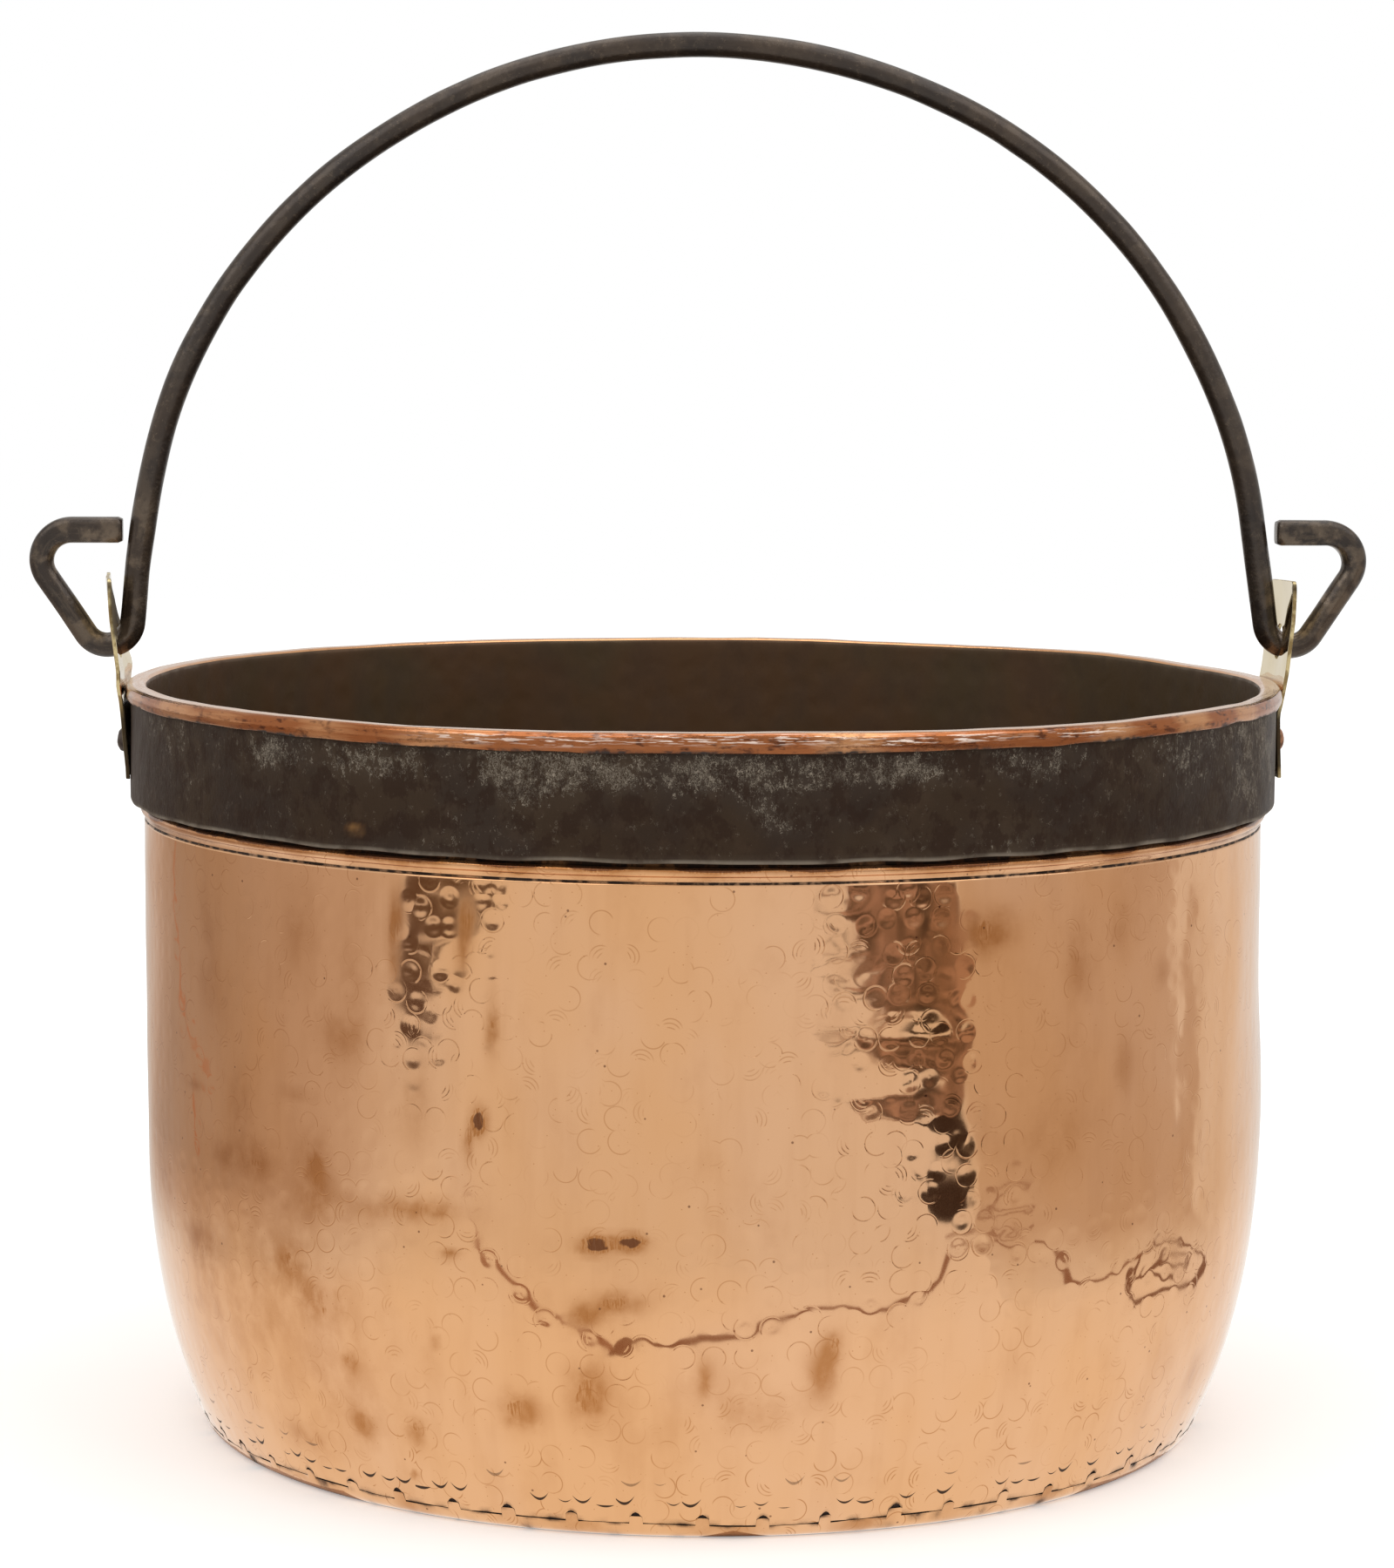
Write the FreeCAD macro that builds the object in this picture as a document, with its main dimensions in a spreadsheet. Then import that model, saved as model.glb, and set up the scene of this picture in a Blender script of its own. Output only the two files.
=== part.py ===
import FreeCAD, Part
import math
import os
import re

import Sketcher

# A large hammered copper pot with an iron hoop under its turned rim, a base pan let in with a
# cramped seam, two riveted brass ears and an iron bail that hangs in them by its hooked ends.
# The origin is the middle of the underside. +Z is up and the ears stand on the X axis.

# Driving sizes in millimetres, degrees or a plain count.
DRIVING_SIZES = [
    ("sheet_thick", 2.0, "copper sheet of the wall and the base pan"),
    ("pot_height", 360.0, "underside to the top of the turned rim"),
    ("wall_radius", 270.5, "outside of the straight part of the wall"),
    ("belly_top", 130.0, "height where the wall starts to curve in"),
    ("belly_radius", 313.0, "outside radius of the curve in profile"),
    ("corner_radius", 9.0, "outside radius of the corner at the base"),
    ("fit_gap", 0.1, "clearance between pieces that seat on each other"),
    ("seam_height", 7.4, "top of the base pan between its cramps"),
    ("cramp_rise", 7.0, "height of a cramp above the seam"),
    ("cramp_angle", 1.34, "width of a cramp, as an angle about the pot's axis"),
    ("cramp_count", 54, "cramps round the seam"),
    ("band_bottom", 304.0, "lower edge of the iron hoop"),
    ("band_thick", 6.4, "thickness of the iron hoop"),
    ("band_edge", 0.8, "rounding of the hoop's edges"),
    ("hem_bottom", 351.5, "lower edge of the copper that is turned down over the hoop"),
    ("hem_bend", 2.6, "outside radius of the rim's bends"),
    ("bead_height", 300.0, "middle of the raised bead below the hoop"),
    ("bead_radius", 2.5, "radius of the bead in profile"),
    ("bead_sink", 0.5, "depth of the bead's centre inside the wall's face"),
    ("crease_height", 295.0, "height of the crease below the bead"),
    ("crease_depth", 0.6, "depth of the crease"),
    ("ear_bottom", 312.0, "lower end of a brass ear"),
    ("ear_top", 410.0, "upper end of a brass ear"),
    ("ear_thick", 2.0, "thickness of an ear"),
    ("ear_angle", 12.4, "width of an ear, as an angle about the pot's axis"),
    ("ear_joggle", 345.0, "height where an ear steps out to pass the hem"),
    ("ear_lean", 6.3, "outward lean of an ear above the hem"),
    ("ear_corner", 4.0, "rounding of an ear's upper corners"),
    ("ear_toe", 1.0, "rounding of an ear's lower outer edge"),
    ("pivot_height", 378.6, "height of the line that the bail swings about"),
    ("eye_height", 381.3, "middle of the hole in an ear"),
    ("eye_radius", 11.0, "radius of the hole in an ear"),
    ("rivet_height", 330.0, "height of the rivets"),
    ("rivet_angle", 4.1, "half the angle between an ear's two rivets"),
    ("shank_radius", 3.0, "radius of a rivet's shank"),
    ("rivet_head_radius", 5.6, "radius of a rivet's outside head"),
    ("rivet_head_rise", 2.4, "height of a rivet's domed head"),
    ("burr_radius", 4.8, "radius of a rivet's closed end inside the pot"),
    ("burr_rise", 1.4, "height of a rivet's closed end"),
    ("rod_radius", 6.0, "radius of the bail's iron rod"),
    ("bail_top", 665.2, "height of the rod's centre at the top of the bail"),
    ("crown_angle", 33.9, "angle of the flatter arc each side of the bail's top"),
    ("leg_top", 437.5, "height where the bail's straight leg starts"),
    ("leg_lean", 8.4, "outward lean of a leg, from the vertical"),
    ("heel_reach", 5.8, "bend's centre outside the ear's inner face at the pivot"),
    ("heel_rise", 10.2, "bend's centre above the pivot"),
    ("heel_radius", 12.4, "radius of the rod's centre round the bend in the ear"),
    ("limb_lean", 33.7, "outward lean of the hook's limb, from the vertical"),
    ("nose_radius", 14.5, "radius of the rod's centre round the hook's upper bend"),
    ("hook_height", 432.0, "height of the rod's centre along the hook's end"),
    ("tip_reach", 280.5, "distance of the hook's tip from the pot's axis"),
    ("tip_edge", 0.8, "rounding of the hook's tip"),
]

os.makedirs("parts", exist_ok=True)
doc = FreeCAD.newDocument("CopperPot")


def make_sheet():
    """Put the driving sizes in the document's spreadsheet, one named cell each."""
    sheet = doc.addObject("Spreadsheet::Sheet", "Sizes")
    for row, (name, size, note) in enumerate(DRIVING_SIZES, start=1):
        sheet.set(f"A{row}", str(size))
        sheet.setAlias(f"A{row}", name)
        sheet.set(f"B{row}", note)
    doc.recompute()
    return sheet


sizes = make_sheet()


def linked(formula):
    """Name the spreadsheet before each size in a formula, for an object outside the sheet."""
    return re.sub(r"\b([a-z]+_[a-z_]+)\b", r"Sizes.\1", formula)


def value(formula):
    """Work a formula out with the sheet's present sizes."""
    return float(sizes.evalExpression(formula))


# Formulas for the surfaces that more than one piece shares.
WALL_INSIDE = "(wall_radius - sheet_thick)"
BAND_INSIDE = "(wall_radius + fit_gap)"
BAND_OUTSIDE = "(wall_radius + fit_gap + band_thick)"
BAND_TOP = "(pot_height - sheet_thick - fit_gap)"
HEM_INSIDE = "(wall_radius + 2 * fit_gap + band_thick)"
HEM_OUTSIDE = "(wall_radius + 2 * fit_gap + band_thick + sheet_thick)"
EAR_SEAT = "(wall_radius + 2 * fit_gap + band_thick)"
EAR_STEP = "(wall_radius + 3 * fit_gap + band_thick + sheet_thick)"
CORNER_CENTRE = ("(wall_radius - belly_radius + sqrt((belly_radius - corner_radius)^2"
                 " - (belly_top - corner_radius)^2))")


def belly_at(height, inset="0"):
    """Distance from the axis to the curved wall's face at a height."""
    return (f"(wall_radius - belly_radius + sqrt((belly_radius - {inset})^2"
            f" - (belly_top - {height})^2))")


def corner_end(inset="0"):
    """Place where the base corner's arc runs into the curved wall."""
    share = f"((belly_radius - {inset}) / (belly_radius - corner_radius))"
    across = (f"(wall_radius - belly_radius + ({CORNER_CENTRE} - wall_radius + belly_radius)"
              f" * {share})")
    return across, f"(belly_top - (belly_top - corner_radius) * {share})"


def ear_inside(height):
    """Distance from the axis to an ear's inner face at a height above the hem's lower edge."""
    return f"({EAR_STEP} + ({height} - hem_bottom) * tan(ear_lean))"


def new_body(name):
    """Start a piece in the document."""
    body = doc.addObject("PartDesign::Body", name)
    body.Label = name
    return body


def origin_item(body, role):
    """Find one of a body's own base planes or axes."""
    return next(item for item in body.Origin.OriginFeatures if item.Role == role)


def new_sketch(body, name, plane="XZ_Plane"):
    """Lay an empty sketch on one of the body's base planes."""
    sketch = body.newObject("Sketcher::SketchObject", name)
    sketch.AttachmentSupport = [(origin_item(body, plane), "")]
    sketch.MapMode = "FlatFace"
    return sketch


def pin(sketch, item, point, kind, formula):
    """Hold one coordinate of a point at a formula."""
    axis = -2 if kind == "DistanceX" else -1
    if formula == "0":
        sketch.addConstraint(Sketcher.Constraint("PointOnObject", item, point, axis))
        return
    place = value(formula)
    index = sketch.addConstraint(Sketcher.Constraint(kind, -1, 1, item, point, place))
    sketch.setExpression(f"Constraints[{index}]", linked(formula))


def hold(sketch, kind, item, formula):
    """Hold a radius or an angle of one item at a formula; an angle's formula is in degrees."""
    size = value(formula)
    if kind == "Angle":
        size = math.radians(size)
    index = sketch.addConstraint(Sketcher.Constraint(kind, item, size))
    sketch.setExpression(f"Constraints[{index}]", linked(formula))


def arc_between(start, end, radius, turn):
    """The short arc from start to end; turn is 1 anticlockwise and -1 clockwise."""
    chord = end - start
    half = chord.Length / 2
    across = FreeCAD.Vector(-chord.y, chord.x, 0).normalize()
    offset = math.sqrt(max(radius * radius - half * half, 0))
    middle = start + chord * 0.5 - across * (turn * (radius - offset))
    return Part.Arc(start, middle, end)


def outline(body, name, corners):
    """Draw a closed outline in the XZ plane. A corner is (x, z), and (x, z, radius, turn)
    where an arc leads on to the next corner. Every corner is tied to the sheet."""
    sketch = new_sketch(body, name)
    places = [FreeCAD.Vector(value(corner[0]), value(corner[1]), 0) for corner in corners]
    count = len(corners)
    for index, corner in enumerate(corners):
        start, end = places[index], places[(index + 1) % count]
        if len(corner) == 4:
            sketch.addGeometry(arc_between(start, end, value(corner[2]), corner[3]))
        else:
            sketch.addGeometry(Part.LineSegment(start, end))
    heads = [arc_ends(corner)[0] for corner in corners]
    tails = [arc_ends(corner)[1] for corner in corners]
    for index in range(count):
        following = (index + 1) % count
        sketch.addConstraint(Sketcher.Constraint(
            "Coincident", index, tails[index], following, heads[following]))
    for index, corner in enumerate(corners):
        pin(sketch, index, heads[index], "DistanceX", corner[0])
        pin(sketch, index, heads[index], "DistanceY", corner[1])
        if len(corner) == 4:
            hold(sketch, "Radius", index, corner[2])
    return sketch


def arc_ends(corner):
    """The sketch's numbers for where an item starts and ends: a clockwise arc is stored
    the other way round."""
    clockwise = len(corner) == 4 and corner[3] < 0
    return (2, 1) if clockwise else (1, 2)


def turned(body, kind, name, sketch, angle="360"):
    """Turn a sketch about the pot's axis, or cut with it, evenly to both sides."""
    feature = body.newObject(f"PartDesign::{kind}", name)
    feature.Profile = sketch
    feature.ReferenceAxis = (sketch, ["V_Axis"])
    if angle == "360":
        feature.Angle = 360
    else:
        feature.Midplane = True
        feature.setExpression("Angle", linked(angle))
    return feature


def repeated(body, name, feature):
    """Repeat a feature evenly round the pot's axis, once for each cramp."""
    pattern = body.newObject("PartDesign::PolarPattern", name)
    pattern.Originals = [feature]
    pattern.Axis = (origin_item(body, "Z_Axis"), [""])
    pattern.Angle = 360
    pattern.setExpression("Occurrences", linked("cramp_count"))
    body.Tip = pattern
    return pattern


def round_hole(body, name, height, radius, swing="0"):
    """Bore level and straight through, square to the pot's axis and swung about it."""
    sketch = new_sketch(body, name + "_outline", "YZ_Plane")
    if swing != "0":
        sketch.AttachmentOffset = FreeCAD.Placement(
            FreeCAD.Vector(), FreeCAD.Rotation(FreeCAD.Vector(0, 1, 0), value(swing)))
        sketch.setExpression("AttachmentOffset.Rotation.Angle", linked(swing))
    centre = FreeCAD.Vector(0, value(height), 0)
    sketch.addGeometry(Part.Circle(centre, FreeCAD.Vector(0, 0, 1), value(radius)))
    pin(sketch, 0, 3, "DistanceX", "0")
    pin(sketch, 0, 3, "DistanceY", height)
    hold(sketch, "Radius", 0, radius)
    cut = body.newObject("PartDesign::Pocket", name)
    cut.Profile = sketch
    cut.SideType = "Symmetric"
    cut.Type = "ThroughAll"
    return cut


def rivet_holes(body):
    """Bore for the two rivets of each ear that the piece carries."""
    round_hole(body, body.Name + "_front_rivet_hole", "rivet_height", "shank_radius + fit_gap",
               "rivet_angle")
    round_hole(body, body.Name + "_back_rivet_hole", "rivet_height", "shank_radius + fit_gap",
               "0 - rivet_angle")


def rounded(body, name, base, radius, chosen):
    """Round the edges of a feature that a test picks out by their middle and length."""
    doc.recompute()
    edges = []
    for number, edge in enumerate(base.Shape.Edges, start=1):
        middle = edge.valueAt((edge.FirstParameter + edge.LastParameter) / 2)
        if chosen(middle, edge.Length):
            edges.append(f"Edge{number}")
    feature = body.newObject("PartDesign::Fillet", name)
    feature.Base = (base, edges)
    feature.setExpression("Radius", linked(radius))
    return feature


def make_base_pan():
    """The pan: a flat bottom, a tight corner and a rim of narrow cramps."""
    body = new_body("base_pan")
    outer_end, inner_end = corner_end(), corner_end("sheet_thick")
    corner_inside = "(corner_radius - sheet_thick)"
    belly_inside = "(belly_radius - sheet_thick)"
    profile = outline(body, "pan_profile", [
        ("0", "0"),
        (CORNER_CENTRE, "0", "corner_radius", 1),
        (*outer_end, "belly_radius", 1),
        (belly_at("seam_height"), "seam_height"),
        (belly_at("seam_height", "sheet_thick"), "seam_height", belly_inside, -1),
        (*inner_end, corner_inside, -1),
        (CORNER_CENTRE, "sheet_thick"),
        ("0", "sheet_thick"),
    ])
    turned(body, "Revolution", "pan", profile)
    top = "(seam_height + cramp_rise)"
    cramp_profile = outline(body, "cramp_profile", [
        (belly_at("seam_height"), "seam_height", "belly_radius", 1),
        (belly_at(top), top),
        (belly_at(top, "sheet_thick"), top, belly_inside, -1),
        (belly_at("seam_height", "sheet_thick"), "seam_height"),
    ])
    cramp = turned(body, "Revolution", "cramp", cramp_profile, "cramp_angle")
    repeated(body, "cramps", cramp)
    return body


def make_pot_wall():
    """The wall: curved in at the foot, beaded below the hoop and turned down over it."""
    body = new_body("pot_wall")
    foot = "(seam_height + fit_gap)"
    bead_half = "sqrt(bead_radius^2 - bead_sink^2)"
    belly_inside = "(belly_radius - sheet_thick)"
    inner_bend = "(hem_bend - sheet_thick)"
    under_rim = "(pot_height - sheet_thick)"
    profile = outline(body, "wall_profile", [
        (belly_at(foot), foot, "belly_radius", 1),
        ("wall_radius", "belly_top"),
        ("wall_radius", "(crease_height - crease_depth)"),
        ("(wall_radius - crease_depth)", "crease_height"),
        ("wall_radius", "(crease_height + crease_depth)"),
        ("wall_radius", f"(bead_height - {bead_half})", "bead_radius", 1),
        ("wall_radius", f"(bead_height + {bead_half})"),
        ("wall_radius", f"({under_rim} - {inner_bend})", inner_bend, -1),
        (f"(wall_radius + {inner_bend})", under_rim),
        (f"({HEM_INSIDE} - {inner_bend})", under_rim, inner_bend, -1),
        (HEM_INSIDE, f"({under_rim} - {inner_bend})"),
        (HEM_INSIDE, "hem_bottom"),
        (HEM_OUTSIDE, "hem_bottom"),
        (HEM_OUTSIDE, "(pot_height - hem_bend)", "hem_bend", 1),
        (f"({HEM_OUTSIDE} - hem_bend)", "pot_height"),
        (f"({WALL_INSIDE} + hem_bend)", "pot_height", "hem_bend", 1),
        (WALL_INSIDE, "(pot_height - hem_bend)"),
        (WALL_INSIDE, "belly_top", belly_inside, -1),
        (belly_at(foot, "sheet_thick"), foot),
    ])
    turned(body, "Revolution", "wall", profile)
    slot_top = "(seam_height + cramp_rise + fit_gap)"
    slot_profile = outline(body, "slot_profile", [
        (f"({belly_at(foot, 'sheet_thick')} - sheet_thick)", "(seam_height - sheet_thick)"),
        (f"({belly_at(slot_top)} + sheet_thick)", "(seam_height - sheet_thick)"),
        (f"({belly_at(slot_top)} + sheet_thick)", slot_top),
        (f"({belly_at(foot, 'sheet_thick')} - sheet_thick)", slot_top),
    ])
    slot = turned(body, "Groove", "slot", slot_profile,
                  f"cramp_angle + 2 * fit_gap / {belly_at('seam_height')} * 180 / pi")
    repeated(body, "slots", slot)
    rivet_holes(body)
    return body


def make_iron_band():
    """The hoop: a flat iron ring with eased edges, held by the rim that is turned over it."""
    body = new_body("iron_band")
    profile = outline(body, "band_profile", [
        (BAND_INSIDE, "(band_bottom + band_edge)", "band_edge", 1),
        (f"({BAND_INSIDE} + band_edge)", "band_bottom"),
        (f"({BAND_OUTSIDE} - band_edge)", "band_bottom", "band_edge", 1),
        (BAND_OUTSIDE, "(band_bottom + band_edge)"),
        (BAND_OUTSIDE, f"({BAND_TOP} - band_edge)", "band_edge", 1),
        (f"({BAND_OUTSIDE} - band_edge)", BAND_TOP),
        (f"({BAND_INSIDE} + band_edge)", BAND_TOP, "band_edge", 1),
        (BAND_INSIDE, f"({BAND_TOP} - band_edge)"),
    ])
    turned(body, "Revolution", "band", profile)
    rivet_holes(body)
    return body


def make_ear(name, side):
    """A brass strap that lies on the hoop, steps out past the hem and leans outward above
    the rim, with a hole for the bail."""
    body = new_body(name)
    top_inside = ear_inside("ear_top")
    profile = outline(body, name + "_profile", [
        (EAR_SEAT, "ear_bottom"),
        (f"({EAR_SEAT} + ear_thick)", "ear_bottom"),
        (f"({EAR_SEAT} + ear_thick)", "ear_joggle"),
        (f"({EAR_STEP} + ear_thick)", "hem_bottom"),
        (f"({top_inside} + ear_thick)", "ear_top"),
        (top_inside, "ear_top"),
        (EAR_STEP, "hem_bottom"),
        (EAR_SEAT, "ear_joggle"),
    ])
    strap = turned(body, "Revolution", name + "_strap", profile, "ear_angle")
    edge_side = value("ear_angle") / 2
    top, thick = value("ear_top"), value("ear_thick")

    def upper_corner(middle, length):
        swing = abs(math.degrees(math.atan2(middle.y, middle.x)))
        return abs(middle.z - top) < 0.01 and abs(swing - edge_side) < 0.01 and length < 2 * thick

    corners = rounded(body, name + "_corners", strap, "ear_corner", upper_corner)
    bottom, seat_outside = value("ear_bottom"), value(f"{EAR_SEAT} + ear_thick")

    def toe_edge(middle, length):
        out = math.hypot(middle.x, middle.y)
        return abs(middle.z - bottom) < 0.01 and abs(out - seat_outside) < 0.01

    rounded(body, name + "_toe", corners, "ear_toe", toe_edge)
    round_hole(body, name + "_eye", "eye_height", "eye_radius")
    rivet_holes(body)
    body.Placement = FreeCAD.Placement(
        FreeCAD.Vector(), FreeCAD.Rotation(FreeCAD.Vector(0, 0, 1), 0 if side > 0 else 180))
    return body


def make_rivet(name, side, swing):
    """A copper rivet: a domed head on the ear, a shank through the ear, the hoop and the
    wall, and the end closed over inside the pot."""
    body = new_body(name)
    head_face = f"({EAR_SEAT} + ear_thick + fit_gap)"
    burr_face = f"({WALL_INSIDE} - fit_gap)"
    dome_radius = "((rivet_head_radius^2 + rivet_head_rise^2) / (2 * rivet_head_rise))"
    profile = outline(body, name + "_profile", [
        (f"({burr_face} - burr_rise)", "0"),
        (f"({head_face} + rivet_head_rise)", "0", dome_radius, 1),
        (head_face, "rivet_head_radius"),
        (head_face, "shank_radius"),
        (burr_face, "shank_radius"),
        (burr_face, "burr_radius"),
        (f"({burr_face} - burr_rise)", "(burr_radius - burr_rise)"),
    ])
    turning = body.newObject("PartDesign::Revolution", name + "_turning")
    turning.Profile = profile
    turning.ReferenceAxis = (profile, ["H_Axis"])
    turning.Angle = 360
    heading = swing if side > 0 else f"180 + {swing}"
    body.Placement = FreeCAD.Placement(
        FreeCAD.Vector(0, 0, value("rivet_height")),
        FreeCAD.Rotation(FreeCAD.Vector(0, 0, 1), value(heading)))
    body.setExpression("Placement.Base.z", linked("rivet_height"))
    body.setExpression("Placement.Rotation.Angle", linked(heading))
    return body


def bail_arcs(heel):
    """Radii of the bail's flatter top arc and its tighter side arc, which must meet each
    other, the top and the leg without a kink. Both conditions are straight lines in the
    two radii, so they are solved as a pair."""
    join = math.radians(90 - value("crown_angle"))
    lean = math.radians(value("leg_lean"))
    top, shoulder = value("bail_top"), value("leg_top")
    offset = (heel.x * math.cos(lean) + heel.y * math.sin(lean)) - value("heel_radius")
    first = (math.cos(lean) * math.cos(join) + math.sin(lean) * (math.sin(join) - 1),
             1 - math.cos(join - lean), offset - math.sin(lean) * top)
    second = (math.sin(join) - 1, math.sin(lean) - math.sin(join), shoulder - top)
    scale = first[0] * second[1] - first[1] * second[0]
    crown = (first[2] * second[1] - first[1] * second[2]) / scale
    side = (first[0] * second[2] - first[2] * second[0]) / scale
    return crown, side


def polar(centre, radius, degrees):
    """A point at an angle round a centre."""
    turn = math.radians(degrees)
    return centre + FreeCAD.Vector(math.cos(turn), math.sin(turn), 0) * radius


def bail_path(body):
    """The line of the rod's centre, from the top of the bail down one side: two arcs, a
    straight leg, the bend in the ear's hole, the slanted limb, the upper bend and the end
    that comes back towards the leg."""
    heel_across = f"({ear_inside('pivot_height')} + heel_reach)"
    heel_up = "(pivot_height + heel_rise)"
    heel = FreeCAD.Vector(value(heel_across), value(heel_up), 0)
    heel_radius, nose_radius = value("heel_radius"), value("nose_radius")
    crown, side = bail_arcs(heel)
    lean, slant = value("leg_lean"), value("limb_lean")
    join = 90 - value("crown_angle")
    crown_centre = FreeCAD.Vector(0, value("bail_top") - crown, 0)
    side_centre = polar(crown_centre, crown - side, join)
    crown_start, crown_end = polar(crown_centre, crown, 90), polar(crown_centre, crown, join)
    leg_start, leg_end = polar(side_centre, side, lean), polar(heel, heel_radius, 180 + lean)
    limb_start = polar(heel, heel_radius, -slant)
    hook_height = value("hook_height")
    nose_up = hook_height - nose_radius
    run = (nose_up - nose_radius * math.sin(math.radians(slant)) - limb_start.y)
    run /= math.cos(math.radians(slant))
    limb_end = polar(limb_start, run, 90 - slant)
    nose = polar(limb_end, nose_radius, 180 - slant)
    nose_end = polar(nose, nose_radius, 90)
    tip = FreeCAD.Vector(value("tip_reach"), hook_height, 0)

    path = new_sketch(body, "bail_line")
    path.addGeometry([
        Part.Arc(crown_start, polar(crown_centre, crown, (90 + join) / 2), crown_end),
        Part.Arc(crown_end, polar(side_centre, side, (join + lean) / 2), leg_start),
        Part.LineSegment(leg_start, leg_end),
        Part.Arc(leg_end, polar(heel, heel_radius, 270 + (lean - slant) / 2), limb_start),
        Part.LineSegment(limb_start, limb_end),
        Part.Arc(limb_end, polar(nose, nose_radius, (90 - slant) / 2), nose_end),
        Part.LineSegment(nose_end, tip),
    ])
    ends = [(2, 1), (2, 1), (1, 2), (1, 2), (1, 2), (1, 2), (1, 2)]
    for item in range(6):
        path.addConstraint(Sketcher.Constraint(
            "Tangent", item, ends[item][1], item + 1, ends[item + 1][0]))
    path.addConstraint(Sketcher.Constraint("PointOnObject", 0, 3, -2))
    pin(path, 0, 2, "DistanceX", "0")
    pin(path, 0, 2, "DistanceY", "bail_top")
    hold(path, "Angle", 0, "crown_angle")
    pin(path, 2, 1, "DistanceY", "leg_top")
    hold(path, "Angle", 2, "leg_lean - 90")
    hold(path, "Radius", 3, "heel_radius")
    pin(path, 3, 3, "DistanceX", heel_across)
    pin(path, 3, 3, "DistanceY", heel_up)
    hold(path, "Angle", 4, "90 - limb_lean")
    hold(path, "Radius", 5, "nose_radius")
    path.addConstraint(Sketcher.Constraint("Horizontal", 6))
    pin(path, 6, 2, "DistanceY", "hook_height")
    pin(path, 6, 2, "DistanceX", "tip_reach")
    return path


def make_bail():
    """The bail: one round iron rod, arched over the pot and hooked outward at both ends."""
    body = new_body("bail")
    path = bail_path(body)
    section = new_sketch(body, "rod_section", "YZ_Plane")
    centre = FreeCAD.Vector(0, value("bail_top"), 0)
    section.addGeometry(Part.Circle(centre, FreeCAD.Vector(0, 0, 1), value("rod_radius")))
    pin(section, 0, 3, "DistanceX", "0")
    pin(section, 0, 3, "DistanceY", "bail_top")
    hold(section, "Radius", 0, "rod_radius")
    doc.recompute()
    rod = body.newObject("PartDesign::AdditivePipe", "half_bail")
    rod.Profile = section
    rod.Spine = (path, [f"Edge{number}" for number in range(1, 8)])
    other_half = body.newObject("PartDesign::Mirrored", "other_half")
    other_half.Originals = [rod]
    other_half.MirrorPlane = (origin_item(body, "YZ_Plane"), [""])
    body.Tip = other_half
    tip_reach, hook_height = value("tip_reach"), value("hook_height")

    def tip_edge(middle, length):
        at_tip = abs(abs(middle.x) - tip_reach) < 0.01
        return at_tip and abs(middle.z - hook_height) < value("rod_radius") + 0.01

    rounded(body, "tip_rounding", other_half, "tip_edge", tip_edge)
    return body


def write_pieces(pieces):
    """Stop at any failed object or bad solid, then write each piece to its own file."""
    doc.recompute()
    for item in doc.Objects:
        if "Invalid" in item.State or "Error" in item.State:
            raise RuntimeError(f"{item.Name} failed: {item.State}")
    for piece in pieces:
        shape = piece.Shape
        if shape.isNull() or not shape.isValid() or len(shape.Solids) != 1:
            raise RuntimeError(f"{piece.Name} is not one good solid")
        print(piece.Label, "volume", round(shape.Volume), "mm3")
    for piece in pieces:
        piece.Shape.exportStep(f"parts/{piece.Label}.step")


write_pieces([
    make_base_pan(),
    make_pot_wall(),
    make_iron_band(),
    make_ear("ear_right", 1),
    make_ear("ear_left", -1),
    make_rivet("rivet_right_front", 1, "0 - rivet_angle"),
    make_rivet("rivet_right_back", 1, "rivet_angle"),
    make_rivet("rivet_left_front", -1, "rivet_angle"),
    make_rivet("rivet_left_back", -1, "0 - rivet_angle"),
    make_bail(),
])
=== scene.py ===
"""A hammered copper pot with an iron hoop, brass ears and a hooked iron bail.

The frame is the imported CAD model. Each operator builds one piece or one group of like
pieces over it, in metres, and the last ones set up the stage, the lamps and the camera.
"""
import math

import bmesh
import bpy
import numpy as np
from mathutils import Matrix, Vector


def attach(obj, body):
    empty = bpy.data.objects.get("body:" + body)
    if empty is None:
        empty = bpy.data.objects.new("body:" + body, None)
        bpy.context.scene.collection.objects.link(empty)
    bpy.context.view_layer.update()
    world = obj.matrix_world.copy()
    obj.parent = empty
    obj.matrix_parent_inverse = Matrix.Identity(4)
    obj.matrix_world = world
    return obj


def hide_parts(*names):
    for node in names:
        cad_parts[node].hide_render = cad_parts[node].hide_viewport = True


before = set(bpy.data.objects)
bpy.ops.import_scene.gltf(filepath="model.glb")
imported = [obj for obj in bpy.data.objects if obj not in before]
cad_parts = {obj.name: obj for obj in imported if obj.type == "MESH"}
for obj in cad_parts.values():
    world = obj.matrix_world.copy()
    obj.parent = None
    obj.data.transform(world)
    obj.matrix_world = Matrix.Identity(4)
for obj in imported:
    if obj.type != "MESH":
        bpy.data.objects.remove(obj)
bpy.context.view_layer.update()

bl_info = {
    "name": "Copper and Iron Pot",
    "version": (1, 0, 0),
    "blender": (4, 5, 0),
    "location": "3D View > Sidebar > Pot",
    "description": "Builds a hammered copper pot with an iron hoop, brass ears and a bail",
    "category": "Object",
}

FULL_TURN = 2 * math.pi
WHITE = (1.0, 1.0, 1.0)

# Points round each mesh; the wall and the pan take theirs from the seam.
RIM_COLUMNS = 720
HOOP_COLUMNS = 640
ROD_COLUMNS = 28
RIVET_COLUMNS = 32

# Heights of the cards that lie on the floor, one just above another.
SOFT_LEVEL = 0.0004
GAP_LEVEL = 0.0008
RIBBON_LEVEL = 0.0009
FOOT_LEVEL = 0.0010


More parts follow.
